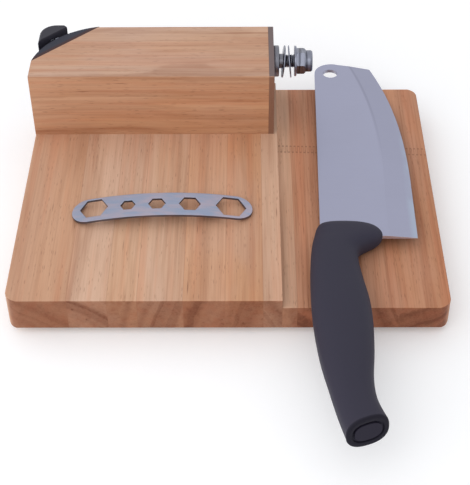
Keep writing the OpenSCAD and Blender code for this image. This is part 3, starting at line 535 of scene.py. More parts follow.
def rimmed(s, tone):
    """Darkens the smooth rim of the handle's butt, and most of all the fine line where it starts."""
    back = knife_place().inverted()
    place = s.add("ShaderNodeMapping", s.place, back.to_translation(), back.to_euler()).outputs[0]
    left, right, lean = Vector(GRIP_SECTIONS[-1][:2]), Vector(GRIP_SECTIONS[-1][2:4]), GRIP_SECTIONS[-1][5]
    way = (right - left).normalized()
    past = Vector((way.y, -way.x, lean))
    middle = (left + right) / 2 * MM
    depth = s.math("SUBTRACT", s.vector("DOT_PRODUCT", place, past), past.xy.dot(middle))
    line = s.span(s.math("ABSOLUTE", s.math("ADD", depth, 0.0011)), 0.0, 0.0006, 0.35, 0.0)
    dark = s.math("ADD", line, s.span(depth, -0.0012, -0.0004, 0.0, 0.74))
    return s.mix(dark, tone, (0.0045, 0.0035, 0.008))


def painted_foot_shade(s, tone):
    """Paints a dark brown line of shade along the base's foot on the wood."""
    low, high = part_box("sharpener_base")
    out = Vector((low.y - high.y, high.x - low.x, 0)).normalized()
    off = s.math("SUBTRACT", s.vector("DOT_PRODUCT", s.place, out), out.dot(Vector((low.x, low.y, 0))))
    return s.mix(s.span(off, 0.0015, 0.0027, 1.0, 0.0), tone, painted(58, 26, 28))


# Helpers for meshes


def cad_mesh(node):
    """A clean copy of a CAD node's mesh: one vertex at each corner, and one face on each flat."""
    form = bmesh.new()
    form.from_mesh(frame["nodes"][node].data)
    bmesh.ops.remove_doubles(form, verts=form.verts, dist=2e-6)
    flat = math.radians(0.6)
    bmesh.ops.dissolve_limit(form, angle_limit=flat, verts=form.verts, edges=form.edges)
    mesh = bpy.data.meshes.new(node)
    form.to_mesh(mesh)
    form.free()
    return mesh


def add_object(name, mesh):
    piece = bpy.data.objects.new(name, mesh)
    bpy.context.scene.collection.objects.link(piece)
    return piece


def settled(piece):
    """Applies a piece's modifiers and gives it a plain mesh."""
    bpy.context.view_layer.update()
    evaluated = piece.evaluated_get(bpy.context.evaluated_depsgraph_get())
    mesh = bpy.data.meshes.new_from_object(evaluated)
    piece.modifiers.clear()
    piece.data = mesh
    return piece


def smoothed(mesh, angle=32):
    mesh.shade_smooth()
    mesh.set_sharp_from_angle(angle=math.radians(angle))


def stand_in(piece, body, material, slot, *nodes):
    """Gives a finished piece its material and its body, and hides the CAD nodes that it stands for."""
    piece.data.materials.clear()
    piece.data.materials.append(material)
    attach(piece, body)
    if nodes:
        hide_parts(*nodes)
    return piece


def body_of(node):
    bodies = frame["record"]["behaviour"]["bodies"]
    return next(body for body, members in bodies.items() if node in members)


def slot_of(node):
    return next(part["material_slot"] for part in frame["record"]["subparts"] if part["node"] == node)


def eased(node, material, width=None, segments=2, angle=35):
    """A CAD node with its sharp edges eased, as worked metal and mouldings have them."""
    piece = add_object("eased_" + node, cad_mesh(node))
    bevel = piece.modifiers.new("ease", "BEVEL")
    bevel.width = look().metal.edge_round if width is None else width
    bevel.segments = segments
    bevel.limit_method = "ANGLE"
    bevel.angle_limit = math.radians(angle)
    bevel.use_clamp_overlap = True
    piece.data.shade_smooth()
    weighted = piece.modifiers.new("even", "WEIGHTED_NORMAL")
    weighted.keep_sharp = True
    settled(piece)
    return stand_in(piece, body_of(node), material, slot_of(node), node)


def dress(node, material):
    """Puts a material on a CAD node that stays as it is."""
    mesh = frame["nodes"][node].data
    mesh.materials.clear()
    mesh.materials.append(material)


def ring_of(profile_points, steps, matrix):
    """A turned solid: points of (radius, height) swept round Z, closed at each end on the axis."""
    form = bmesh.new()
    rows = []
    for radius, height in profile_points:
        if radius < 1e-7:
            rows.append([form.verts.new((0, 0, height))])
        else:
            turns = [math.tau * k / steps for k in range(steps)]
            rows.append([form.verts.new((radius * math.cos(a), radius * math.sin(a), height)) for a in turns])
    for low, high in zip(rows, rows[1:]):
        for k in range(steps):
            corners = [low[k % len(low)], low[(k + 1) % len(low)], high[(k + 1) % len(high)], high[k % len(high)]]
            form.faces.new(list(dict.fromkeys(corners)))
    bmesh.ops.recalc_face_normals(form, faces=form.faces)
    form.transform(matrix)
    mesh = bpy.data.meshes.new("turned")
    form.to_mesh(mesh)
    form.free()
    return mesh


def turned_to(direction, place):
    """Stands Z along a direction, at a place."""
    return Matrix.Translation(place) @ Vector((0, 0, 1)).rotation_difference(Vector(direction)).to_matrix().to_4x4()


# Geometry Nodes


def geometry_tree(name, inputs):
    tree = bpy.data.node_groups.new(name, "GeometryNodeTree")
    tree.interface.new_socket("Geometry", in_out="INPUT", socket_type="NodeSocketGeometry")
    tree.interface.new_socket("Geometry", in_out="OUTPUT", socket_type="NodeSocketGeometry")
    for title, value in inputs.items():
        kind = {float: "NodeSocketFloat", int: "NodeSocketInt", Vector: "NodeSocketVector"}.get(type(value), "NodeSocketMaterial")
        socket = tree.interface.new_socket(title, in_out="INPUT", socket_type=kind)
        if kind != "NodeSocketMaterial":
            socket.default_value = value
    sketch = Sketch(tree)
    return tree, sketch, sketch.add("NodeGroupInput").outputs


def grown(name, tree, points, settings):
    """Runs a geometry tree on loose points and keeps the result as a plain mesh."""
    mesh = bpy.data.meshes.new(name)
    mesh.from_pydata([tuple(p) for p in points], [], [])
    piece = add_object(name, mesh)
    modifier = piece.modifiers.new("grow", "NODES")
    modifier.node_group = tree
    sockets = {i.name: i.identifier for i in tree.interface.items_tree if i.in_out == "INPUT"}
    for title, value in settings.items():
        modifier[sockets[title]] = value
    piece.update_tag()
    return settled(piece)


def close_tree(s, geometry, material):
    """Ends a geometry tree with real meshes and their material."""
    real = s.add("GeometryNodeRealizeInstances", geometry)
    dressed = s.add("GeometryNodeSetMaterial", real)
    s.feed(dressed.inputs["Material"], material)
    sink = s.add("NodeGroupOutput")
    s.feed(sink.inputs[0], dressed.outputs[0])


def screw_tree():
    """Countersunk screws with a cross recess, one at each point, all pointing the same way."""
    tree, s, given = geometry_tree(
        "countersunk screws",
        {"Head": 0.010, "Shank": 0.005, "Length": 0.03, "Turn": Vector(), "Material": None},
    )
    half = lambda value: s.math("MULTIPLY", value, 0.5)
    head_r, shank_r = half(given["Head"]), half(given["Shank"])
    head_h = s.math("SUBTRACT", head_r, shank_r)
    cone = s.add("GeometryNodeMeshCone", Vertices=32, Side_Segments=1)
    s.feed(cone.inputs["Radius Top"], shank_r)
    s.feed(cone.inputs["Radius Bottom"], head_r)
    s.feed(cone.inputs["Depth"], head_h)
    arms = []
    for long_x in (True, False):
        wide = s.math("MULTIPLY", given["Shank"], 1.2 if long_x else 0.26)
        deep = s.math("MULTIPLY", given["Shank"], 0.26 if long_x else 1.2)
        size = s.add("ShaderNodeCombineXYZ", wide, deep, s.math("MULTIPLY", head_h, 1.4))
        arms.append(s.add("GeometryNodeMeshCube", size.outputs[0]).outputs[0])
    cut = s.add("GeometryNodeMeshBoolean", operation="DIFFERENCE", solver="EXACT")
    s.feed(cut.inputs[0], cone.outputs[0])
    for arm in arms:
        s.feed(cut.inputs[1], arm)
    shank_l = s.math("SUBTRACT", given["Length"], head_h)
    shank = s.add("GeometryNodeMeshCylinder", Vertices=24)
    s.feed(shank.inputs["Radius"], shank_r)
    s.feed(shank.inputs["Depth"], shank_l)
    middle = s.math("ADD", head_h, s.math("MULTIPLY", shank_l, 0.5))
    raised = s.add("GeometryNodeTransform", shank.outputs[0])
    s.feed(raised.inputs["Translation"], s.add("ShaderNodeCombineXYZ", 0.0, 0.0, middle))
    tip = s.add("GeometryNodeMeshCone", Vertices=24, Side_Segments=1)
    s.feed(tip.inputs["Radius Top"], 0.0001)
    s.feed(tip.inputs["Radius Bottom"], shank_r)
    s.feed(tip.inputs["Depth"], given["Shank"])
    tipped = s.add("GeometryNodeTransform", tip.outputs[0])
    s.feed(tipped.inputs["Translation"], s.add("ShaderNodeCombineXYZ", 0.0, 0.0, given["Length"]))
    whole = s.add("GeometryNodeJoinGeometry")
    for part in (cut, raised, tipped):
        s.feed(whole.inputs[0], part.outputs[0])
    placed = s.add("GeometryNodeInstanceOnPoints")
    s.feed(placed.inputs["Points"], given["Geometry"])
    s.feed(placed.inputs["Instance"], whole.outputs[0])
    s.feed(placed.inputs["Rotation"], given["Turn"])
    close_tree(s, placed.outputs[0], given["Material"])
    return tree


def foot_tree():
    """Rubber feet: a rounded ring round a screw, one at each point, its bottom at the point."""
    tree, s, given = geometry_tree(
        "rubber feet", {"Outer": 0.008, "Inner": 0.00305, "Height": 0.004, "Round": 0.0007, "Material": None}
    )
    mid = s.math("MULTIPLY", s.math("ADD", given["Outer"], given["Inner"]), 0.5)
    wide = s.math("SUBTRACT", given["Outer"], given["Inner"])
    path = s.add("GeometryNodeCurvePrimitiveCircle", Resolution=64)
    s.feed(path.inputs["Radius"], mid)
    section = s.add("GeometryNodeCurvePrimitiveQuadrilateral")
    s.feed(section.inputs["Width"], wide)
    s.feed(section.inputs["Height"], given["Height"])
    rounded = s.add("GeometryNodeFilletCurve", section.outputs[0])
    rounded_mode(rounded)
    s.feed(rounded.inputs["Radius"], given["Round"])
    swept = s.add("GeometryNodeCurveToMesh", path.outputs[0], rounded.outputs[0])
    lifted = s.add("GeometryNodeTransform", swept.outputs[0])
    half = s.math("MULTIPLY", given["Height"], 0.5)
    s.feed(lifted.inputs["Translation"], s.add("ShaderNodeCombineXYZ", 0.0, 0.0, half))
    placed = s.add("GeometryNodeInstanceOnPoints")
    s.feed(placed.inputs["Points"], given["Geometry"])
    s.feed(placed.inputs["Instance"], lifted.outputs[0])
    close_tree(s, placed.outputs[0], given["Material"])
    return tree


def rounded_mode(node):
    """Sets a fillet to four points on each corner, whichever way this Blender names it."""
    if hasattr(node, "mode"):
        node.mode = "POLY"
    node.inputs["Count"].default_value = 4


def thread_tree():
    """A screw thread: a V ridge wound along a rod, which starts at each point and runs up Z."""
    tree, s, given = geometry_tree(
        "thread",
        {"Radius": 0.004, "Depth": 0.00075, "Pitch": 0.00125, "Length": 0.0157, "Turn": Vector(), "Material": None},
    )
    root = s.math("SUBTRACT", given["Radius"], given["Depth"])
    turns = s.math("DIVIDE", given["Length"], given["Pitch"])
    helix = s.add("GeometryNodeCurveSpiral", Resolution=36)
    s.feed(helix.inputs["Rotations"], turns)
    for end in ("Start Radius", "End Radius"):
        s.feed(helix.inputs[end], root)
    s.feed(helix.inputs["Height"], given["Length"])
    upright = s.add("GeometryNodeSetCurveNormal", helix.outputs[0])
    upright.mode = "Z_UP"
    # The ridge's section: a flat-topped V whose foot lies inside the rod
    foot = s.math("MULTIPLY", given["Depth"], -0.3)
    crest = s.math("MULTIPLY", given["Depth"], 1.0)
    half_foot = s.math("MULTIPLY", given["Pitch"], 0.46)
    half_crest = s.math("MULTIPLY", given["Pitch"], 0.09)
    ridge = s.add("GeometryNodeCurvePrimitiveQuadrilateral", mode="POINTS")
    corners = ((foot, half_foot, -1), (crest, half_crest, -1), (crest, half_crest, 1), (foot, half_foot, 1))
    for place, (reach, half, side) in enumerate(corners):
        along = s.math("MULTIPLY", half, float(side))
        s.feed(ridge.inputs[f"Point {place + 1}"], s.add("ShaderNodeCombineXYZ", along, reach, 0.0))
    wound = s.add("GeometryNodeCurveToMesh", upright.outputs[0], ridge.outputs[0])
    s.feed(wound.inputs["Fill Caps"], True)
    rod = s.add("GeometryNodeMeshCylinder", Vertices=48)
    s.feed(rod.inputs["Radius"], root)
    s.feed(rod.inputs["Depth"], given["Length"])
    raised = s.add("GeometryNodeTransform", rod.outputs[0])
    s.feed(raised.inputs["Translation"], s.add("ShaderNodeCombineXYZ", 0.0, 0.0, s.math("MULTIPLY", given["Length"], 0.5)))
    whole = s.add("GeometryNodeJoinGeometry")
    for part in (wound, raised):
        s.feed(whole.inputs[0], part.outputs[0])
    placed = s.add("GeometryNodeInstanceOnPoints")
    s.feed(placed.inputs["Points"], given["Geometry"])
    s.feed(placed.inputs["Instance"], whole.outputs[0])
    s.feed(placed.inputs["Rotation"], given["Turn"])
    close_tree(s, placed.outputs[0], given["Material"])
    return tree


# Operators, one for each piece or group of like pieces


class SlicerPiece:
    bl_options = {"REGISTER", "UNDO"}


class SLICER_OT_board(SlicerPiece, bpy.types.Operator):
    """Finishes the glued staves of the board"""

    bl_idname = "slicer.board"
    bl_label = "Board"

    def execute(self, context):
        tones = context.scene.slicer.wood
        # Each stave was cut from its own plank, so each has its own tone, seed and pith, which lies
        # so far from the stave's middle along X and Z, and its own share of gold
        staves = {
            "stave_1": (tones.tan * 0.97, -0.055, -0.078, 0.2), "stave_2": (tones.light, -0.060, -0.078, 0.15),
            "stave_3": (tones.light, 0.11, -0.02, 0.45), "stave_4": (tones.light, -0.10, 0.03, 0.3),
            "stave_5": (tones.tan * 1.03, 0.09, -0.03, 0.4), "stave_6": (tones.tan, -0.11, 0.02, 0.6),
            "stave_7": (tones.light, 0.08, 0.04, 0.15), "pale_stave": (tones.shaded, 0.09, 0.02, 0.2),
            "cutting_stave_1": (tones.red * 1.13, -0.05, -0.07, 0.3), "cutting_stave_2": (tones.red, 0.08, 0.03, 0.4),
            "cutting_stave_3": (tones.red, -0.05, 0.08, 0.5),
        }
        for number, (node, (pale, pith_x, pith_z, golden)) in enumerate(staves.items()):
            low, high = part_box(node)
            middle = (low + high) / 2
            pith = Vector((middle.x + pith_x, 0, middle.z + pith_z))
            cutting = node.startswith(("pale", "cutting"))
            contrast = {"bands": 0.30, "fibres": 0.36} if node.startswith("cutting") else {}
            material = wood(
                node + "_wood", pale, 3.7 * number, pith, tones.ring_gap, golden, sides=(low.x, high.x),
                jointed=cutting, **contrast
            )
            dress(node, material)
        return {"FINISHED"}


class SLICER_OT_block(SlicerPiece, bpy.types.Operator):
    """Finishes the pivot block, the steel plate on its end and the insert in it"""

    bl_idname = "slicer.block"
    bl_label = "Block"

    def execute(self, context):
        slicer = context.scene.slicer
        tones = slicer.wood
        # The block's front faces get painted bounce light, golden from the board before them
        block_wood = wood(
            "block_wood", tones.block, 41.3, Vector((-0.10, 0, -0.06)), tones.block_gap, 0.45, sway=0.02, bands=0.28,
            along=(1, 0, 0), sides=(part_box("end_plate")[0].x,), bounce_tint=(0.99, 0.865, 0.72)
        )
        dress("pivot_block", block_wood)
        plate = metal("plate_steel", slicer.metal.plate, 0.60, (60, 3000, 3000), 0.8, worked=painted_board_reflection)
        eased("end_plate", plate, 0.0003)
        dress("thread_insert", metal("insert_brass", slicer.metal.brass, 0.4))
        return {"FINISHED"}


class SLICER_OT_feet(SlicerPiece, bpy.types.Operator):
    """Makes the four rubber feet"""

    bl_idname = "slicer.feet"
    bl_label = "Feet"

    def execute(self, context):
        low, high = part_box("rubber_feet")
        radius = 0.008
        places = [(x, y, low.z) for x in (low.x + radius, high.x - radius) for y in (low.y + radius, high.y - radius)]
        material = plastic("foot_rubber", context.scene.slicer.plastic.rubber, 0.75, 1600.0)
        settings = {"Outer": radius, "Height": high.z - low.z, "Material": material}
        piece = grown("feet", foot_tree(), places, settings)
        smoothed(piece.data)
        stand_in(piece, "base", material, slot_of("rubber_feet"), "rubber_feet")
        return {"FINISHED"}


class SLICER_OT_screws(SlicerPiece, bpy.types.Operator):
    """Makes the countersunk screws of the feet, the block and the plate"""

    bl_idname = "slicer.screws"
    bl_label = "Screws"

    def execute(self, context):
        material = metal("screw_steel", context.scene.slicer.metal.screw, 0.3, (800, 800, 800), 0.3)
        tree = screw_tree()
        sets = {
            "foot_screws": (0.003, (0, 0, 1)),
            "block_screws": (0.005, (0, 0, 1)),
            "plate_screws": (0.0035, (-1, 0, 0)),
        }
        for node, (shank, way) in sets.items():
            low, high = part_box(node)
            run = abs((high - low).dot(Vector(way)))
            head = 2 * shank
            inset = head / 2
            if way[2]:
                xs, ys, zs = (low.x + inset, high.x - inset), (low.y + inset, high.y - inset), (low.z,)
            else:
                xs, ys, zs = (high.x,), (low.y + inset, high.y - inset), (low.z + inset, high.z - inset)
            places = [(x, y, z) for x in xs for y in ys for z in zs]
            turn = Vector((0, 0, 1)).rotation_difference(Vector(way)).to_euler()
            settings = {
                "Head": head, "Shank": shank, "Length": run - shank, "Turn": Vector(turn), "Material": material,
            }
            piece = grown(node.replace("_screws", "_countersunk_screws"), tree, places, settings)
            smoothed(piece.data, 25)
            stand_in(piece, "base", material, slot_of(node), node)
        for node in ("base_screws", "guard_screw"):
            dress(node, material)
        return {"FINISHED"}


class SLICER_OT_stud(SlicerPiece, bpy.types.Operator):
    """Turns the pivot stud and winds its thread"""

    bl_idname = "slicer.stud"
    bl_label = "Stud"

    def execute(self, context):
        plate_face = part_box("end_plate")[1].x
        low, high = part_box("pivot_stud")
        axis = Vector((0, (low.y + high.y) / 2, (low.z + high.z) / 2))
        flange_r, shoulder_r, thread_r = (high.y - low.y) / 2, 4.2 * MM, 4.0 * MM
        flange_t, shoulder_end, reach = 3.3 * MM, 5.9 * MM, high.x - plate_face
        root = thread_r - 0.75 * MM
        profile = [
            (0, -(plate_face - low.x)), (thread_r - 0.8 * MM, -(plate_face - low.x)), (thread_r, -(plate_face - low.x) + 0.8 * MM),
            (thread_r, 0), (flange_r - 0.5 * MM, 0), (flange_r - 0.15 * MM, 0.15 * MM), (flange_r, 0.5 * MM),
            (flange_r, flange_t - 0.6 * MM), (flange_r - 0.18 * MM, flange_t - 0.18 * MM), (flange_r - 0.6 * MM, flange_t),
            (shoulder_r + 0.3 * MM, flange_t), (shoulder_r, flange_t + 0.3 * MM), (shoulder_r, shoulder_end - 0.4 * MM),
            (root, shoulder_end), (root, shoulder_end + 0.5 * MM), (0, shoulder_end + 0.5 * MM),
        ]
        stand = turned_to((1, 0, 0), axis + Vector((plate_face, 0, 0)))
        material = metal("stud_steel", context.scene.slicer.metal.stud, 0.36, (3000, 300, 300), 0.6, worked=under_lit)
        stud = add_object("pivot_stud_turned", ring_of(profile, 96, stand))
        smoothed(stud.data, 28)
        stand_in(stud, "base", material, slot_of("pivot_stud"), "pivot_stud")
        start = axis + Vector((plate_face + shoulder_end, 0, 0))
        turn = Vector((0, 0, 1)).rotation_difference(Vector((1, 0, 0))).to_euler()
        settings = {"Length": reach - shoulder_end - 0.7 * MM, "Turn": Vector(turn), "Material": material}
        thread = grown("pivot_stud_thread", thread_tree(), [start], settings)
        smoothed(thread.data, 30)
        stand_in(thread, "base", material, slot_of("pivot_stud"), "pivot_stud")
        return {"FINISHED"}


class SLICER_OT_nut(SlicerPiece, bpy.types.Operator):
    """Finishes the washers, the lock nut and its nylon ring"""

    bl_idname = "slicer.nut"
    bl_label = "Washers and nut"

    def execute(self, context):
        slicer = context.scene.slicer
        zinc = metal("bright_zinc", slicer.metal.zinc, 0.27, (1500, 90, 90), 1.0, 0.05, under_lit)
        for node in ("inner_washer", "outer_washer", "nut_washer"):
            eased(node, zinc, 0.00012)
        # The nut's material carries painted reflection streaks
        plating = metal("bright_zinc_nut", slicer.metal.zinc, 0.30, (1500, 90, 90), 1.0, 0.05, plated)
        eased("lock_nut", plating, 0.0002)
        nylon = plastic("nylon", slicer.plastic.nylon, 0.4, 900.0, 0.05)
        dress("nut_ring", nylon)
        return {"FINISHED"}


class SLICER_OT_sharpener(SlicerPiece, bpy.types.Operator):
    """Finishes the sharpener's mouldings and its cutters"""

    bl_idname = "slicer.sharpener"
    bl_label = "Sharpener"

    def execute(self, context):
        tones = context.scene.slicer.plastic
        eased("sharpener_base", plastic("base_plastic", tones.base, 0.34, 1500.0, 0.08, painted_foot_shade), 0.0006)
        guard = plastic("guard_plastic", tones.guard, 0.5, 1700.0, 0.15)
        eased("sharpener_guard", guard, 0.0005, angle=40)
        eased("cutter_holder", guard, 0.0002)
        carbide = metal("carbide", context.scene.slicer.metal.zinc, 0.22, (300, 300, 2500), 0.5)
        for node in ("cutter_front", "cutter_back"):
            eased(node, carbide, 0.0001)
        return {"FINISHED"}


class SLICER_OT_blade(SlicerPiece, bpy.types.Operator):
    """Finishes the blade"""

    bl_idname = "slicer.blade"
    bl_label = "Blade"

    def execute(self, context):
        satin = metal("blade_steel", context.scene.slicer.metal.blade, 0.42, (60, 2600, 2600), 0.22, 0.03, ground)
        eased("knife_blade", satin, 0.00018, angle=12)
        return {"FINISHED"}


def knife_place():
    """The knife's own frame, from the mount at the blade's hole: X across the blade, Y to its tip, Z up."""
    hole = next(m for m in frame["record"]["mounts"] if m["name"] == "pivot_hole")
    up = Vector(hole["axis"])
    turn = math.atan2(-up.x, up.y)
    tilt = math.atan2(math.hypot(up.x, up.y), up.z)
    return Matrix.Translation(hole["pos_m"]) @ Matrix.Rotation(turn, 4, "Z") @ Matrix.Rotation(-tilt, 4, "X")


# Sections of the grip from the blade to the butt, in millimetres in the knife's own frame: the left
# end and the right end of each, seen from above, its thickness, and how far it leans towards the
# blade for each millimetre up
GRIP_SECTIONS = [
    (-4, -143.6, 10, -143.6, 4.4, 0),
    (-9.3, -145, 16.8, -145, 7.6, 0),
    (-11.2, -148.6, 21.2, -148.6, 12.2, 0),
    (-12.2, -152.8, 22.9, -152.8, 13.6, 0),
    (-13.1, -157.5, 20.8, -157.5, 14.2, 0),
    (-13.8, -161.5, 15, -161.5, 14.6, 0),
    (-14.3, -166, 10.5, -166, 15, 0),
    (-14.8, -174, 9.6, -174, 15.6, 0),
    (-15.2, -187, 11.2, -187, 16.6, 0),
    (-15.1, -203, 13.7, -203, 17.4, 0),
    (-14.2, -221, 14.5, -219, 17.8, 0),
    (-11.8, -242, 14, -238, 17, 0),
    (-8, -261, 12.8, -256, 15.8, 0),
    (-4.5, -277, 14, -269.5, 15.6, 0.05),
    (-1, -290, 18.4, -282, 16.2, 0.14),
]
CORE_FROM = 6
SQUARENESS = 0.82


def smooth_between(sections, steps):
    """Sections on a smooth curve through the given ones."""
    rows = []
    for i in range(len(sections) - 1):
        a, b, c, d = (sections[min(max(i + k, 0), len(sections) - 1)] for k in (-1, 0, 1, 2))
        for k in range(steps):
            t = k / steps
            rows.append([
                q + t / 2 * (r - p + t * (2 * p - 5 * q + 4 * r - s + t * (3 * (q - r) + s - p)))
                for p, q, r, s in zip(a, b, c, d)
            ])
    return rows + [list(sections[-1])]


def section_ring(section, inset, points, shift=0.0):
    """A rounded loop across a section, set in from its surface and shifted along the handle."""
    left, right = Vector(section[:2]), Vector(section[2:4])
    middle = (left + right) / 2
    way = (right - left).normalized()
    ahead = Vector((way.y, -way.x))
    wide, high = (right - left).length / 2 - inset, section[4] / 2 - inset
    ring = []
    for k in range(points):
        a = math.tau * k / points
        across = math.copysign(abs(math.cos(a)) ** SQUARENESS, math.cos(a)) * wide
        up = math.copysign(abs(math.sin(a)) ** SQUARENESS, math.sin(a)) * high
        flat = middle + way * across + ahead * (shift - section[5] * up)
        ring.append(Vector((flat.x, flat.y, up)))
    return ring


def skinned(rings, matrix):
    """One closed skin over rings of points, with a point at each end."""
    form = bmesh.new()
    rows = [[form.verts.new(matrix @ p) for p in ring] for ring in rings]
    count = len(rows[0])
    for near, far in zip(rows, rows[1:]):
        for k in range(count):
            form.faces.new((near[k], near[(k + 1) % count], far[(k + 1) % count], far[k]))
    for row in (rows[0], rows[-1]):
        centre = form.verts.new(sum((v.co for v in row), Vector()) / count)
        for k in range(count):
            form.faces.new((row[k], row[(k + 1) % count], centre))
    bmesh.ops.recalc_face_normals(form, faces=form.faces)
    mesh = bpy.data.meshes.new("skin")
    form.to_mesh(mesh)
    form.free()
    return mesh


class SLICER_OT_handle(SlicerPiece, bpy.types.Operator):
    """Makes the soft grip with its grooved butt, and finishes the core"""

    bl_idname = "slicer.handle"
    bl_label = "Handle"

    def execute(self, context):
        slicer = context.scene.slicer
        sizes = slicer.handle
        wall, groove, depth, lip = (v / MM for v in (sizes.wall, sizes.groove, sizes.groove_depth, sizes.lip))
        outer = smooth_between(GRIP_SECTIONS, 6)
        core = smooth_between(GRIP_SECTIONS[CORE_FROM:], 4)
        butt = GRIP_SECTIONS[-1]
        rings = [section_ring(outer[0], inset, sizes.points, -inset / 8) for inset in (1.8, 1.2, 0.6)]
        rings += [section_ring(row, 0, sizes.points) for row in outer[:-1]]
        for k in range(6):
            a = k / 5 * math.pi / 2
            rings.append(section_ring(butt, lip * (1 - math.cos(a)), sizes.points, -lip * (1 - math.sin(a))))
        rim = wall - groove
        rings += [section_ring(butt, inset, sizes.points, shift) for inset, shift in (
            (rim - 0.3, 0), (rim - 0.08, -0.08), (rim, -0.3), (rim, -depth + 0.1), (rim + 0.1, -depth), (wall, -depth))]
        rings += [section_ring(row, wall, sizes.points) for row in reversed(core[:-2])]
        grip_rubber = plastic("grip_rubber", slicer.plastic.grip, 0.56, 1500.0, 0.22, rimmed, 0.12)
        scale = Matrix.Scale(MM, 4)
        grip = add_object("soft_grip", skinned(rings, knife_place() @ scale))
        smoothed(grip.data, 50)
        stand_in(grip, "knife", grip_rubber, slot_of("handle_grip"), "handle_grip")
        dress("handle_core", plastic("core_plastic", slicer.plastic.core, 0.5, 1500.0, 0.15, mirrored=0.12))
        return {"FINISHED"}


class SLICER_OT_spanner(SlicerPiece, bpy.types.Operator):
    """Finishes the punched spanner"""

    bl_idname = "slicer.spanner"
    bl_label = "Spanner"

    def execute(self, context):
        punched = metal("spanner_steel", context.scene.slicer.metal.spanner, 0.34, (70, 2400, 600), 0.6, 0.05, painted_reflection_and_shade)
        eased("spanner", punched, 0.00022, angle=30)
        return {"FINISHED"}


def seen_directly(s):
    """One for rays from the camera, and for those mirrored or let through."""
    path = s.add("ShaderNodeLightPath")
    seen = s.math("MAXIMUM", path.outputs["Is Camera Ray"], path.outputs["Is Transmission Ray"])
    return s.math("MAXIMUM", seen, path.outputs["Is Glossy Ray"])


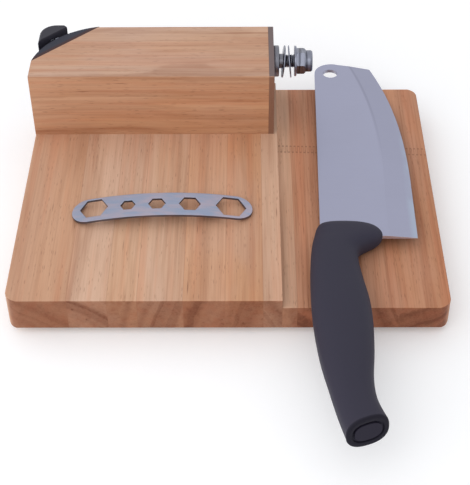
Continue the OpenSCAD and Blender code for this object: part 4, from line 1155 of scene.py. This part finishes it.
class SLICER_OT_stage(SlicerPiece, bpy.types.Operator):
    """Lays a pale floor and sets soft light and the camera"""

    bl_idname = "slicer.stage"
    bl_label = "Stage"

    def execute(self, context):
        stage = context.scene.slicer.stage
        self.floor()
        self.sky(context.scene, stage.sky)
        self.lamp("softbox", Vector((-0.3, -0.8, 0.85)), (1.0, 0.8), stage.lamp)
        self.lamp("side_softbox", Vector((-1.0, -0.35, 0.40)), (0.5, 0.5), stage.side_lamp)
        self.camera(context.scene, stage)
        context.scene.view_settings.view_transform = "Standard"
        return {"FINISHED"}

    def floor(self):
        mesh = bpy.data.meshes.new("floor")
        reach, level = 3.0, CAD_BOX[0].z
        mesh.from_pydata([(x, y, level) for x, y in ((-reach, -reach), (reach, -reach), (reach, reach), (-reach, reach))],
                         [], [(0, 1, 2, 3)])
        floor = add_object("floor", mesh)
        material, s = new_material("floor_white")
        speckle = s.noise(s.place, 900.0, 2.0)
        tone = s.span(speckle, 0.3, 0.7, 0.90, 0.92)
        paint = s.add("ShaderNodeCombineColor", tone, tone, tone).outputs[0]
        # A little glow towards the camera and in mirrored light makes the floor white and keeps its shadows
        glow = s.math("MULTIPLY", seen_directly(s), 0.17)
        finish_material(s, paint, 0.9, speckle, 0.02, 0.0001, IOR=1.0, Emission_Color=(1, 1, 1), Emission_Strength=glow)
        mesh.materials.append(material)

    def sky(self, scene, strength):
        world = bpy.data.worlds.new("white_room")
        scene.world = world
        world.use_nodes = True
        world.node_tree.nodes.clear()
        s = Sketch(world.node_tree)
        # The room is a little lighter on the left, and plain white where it is seen
        across = s.add("ShaderNodeSeparateXYZ", s.add("ShaderNodeTexCoord").outputs["Generated"]).outputs[0]
        room = s.math("MULTIPLY", strength, s.math("SUBTRACT", 1.0, s.math("MULTIPLY", across, 0.4)))
        direct = seen_directly(s)
        level = s.add("ShaderNodeMix", direct, data_type="FLOAT", A=room, B=1.0).outputs[0]
        light = s.add("ShaderNodeBackground", s.mix(direct, (0.985, 0.993, 1.02), (1, 1, 1)), level)
        s.add("ShaderNodeOutputWorld", light)

    def lamp(self, name, place, size, power):
        data = bpy.data.lights.new(name, "AREA")
        data.shape = "RECTANGLE"
        data.size, data.size_y = size
        data.energy = power
        lamp = bpy.data.objects.new(name, data)
        lamp.matrix_world = Matrix.Translation(place) @ (-place).to_track_quat("-Z", "Y").to_matrix().to_4x4()
        bpy.context.scene.collection.objects.link(lamp)

    def camera(self, scene, stage):
        ahead = Vector((
            math.sin(stage.yaw) * math.cos(stage.pitch), math.cos(stage.yaw) * math.cos(stage.pitch), -math.sin(stage.pitch)
        ))
        right = Vector((math.cos(stage.yaw), -math.sin(stage.yaw), 0))
        turn = Matrix((right, right.cross(ahead), -ahead)).transposed() @ Matrix.Rotation(stage.roll, 3, "Z")
        data = bpy.data.cameras.new("camera")
        data.lens = stage.lens
        data.clip_start, data.clip_end = 0.01, 20
        camera = bpy.data.objects.new("camera", data)
        camera.matrix_world = Matrix.Translation(stage.camera_place) @ turn.to_4x4()
        scene.collection.objects.link(camera)
        scene.camera = camera


class SLICER_PT_panel(bpy.types.Panel):
    """Lists the pieces and the sizes and colours that they are made from"""

    bl_idname = "SLICER_PT_panel"
    bl_label = "Biltong Slicer"
    bl_space_type = "VIEW_3D"
    bl_region_type = "UI"
    bl_category = "Slicer"

    def draw(self, context):
        for piece in OPERATORS:
            self.layout.operator(piece.bl_idname)
        for name in ("wood", "metal", "plastic", "handle", "stage"):
            box = self.layout.box()
            box.label(text=name.capitalize())
            part = getattr(context.scene.slicer, name)
            for field in part.bl_rna.properties:
                if field.identifier not in ("rna_type", "name"):
                    box.prop(part, field.identifier)


OPERATORS = (
    SLICER_OT_board,
    SLICER_OT_block,
    SLICER_OT_feet,
    SLICER_OT_screws,
    SLICER_OT_stud,
    SLICER_OT_nut,
    SLICER_OT_sharpener,
    SLICER_OT_blade,
    SLICER_OT_handle,
    SLICER_OT_spanner,
    SLICER_OT_stage,
)
CLASSES = (WoodLook, MetalLook, PlasticLook, HandleLook, StageLook, SlicerLook, *OPERATORS, SLICER_PT_panel)


def register():
    for cls in CLASSES:
        bpy.utils.register_class(cls)
    bpy.types.Scene.slicer = PointerProperty(type=SlicerLook)


def unregister():
    del bpy.types.Scene.slicer
    for cls in reversed(CLASSES):
        bpy.utils.unregister_class(cls)


def main():
    register()
    for piece in OPERATORS:
        getattr(bpy.ops.slicer, piece.bl_idname.split(".")[1])()


if __name__ == "__main__":
    main()
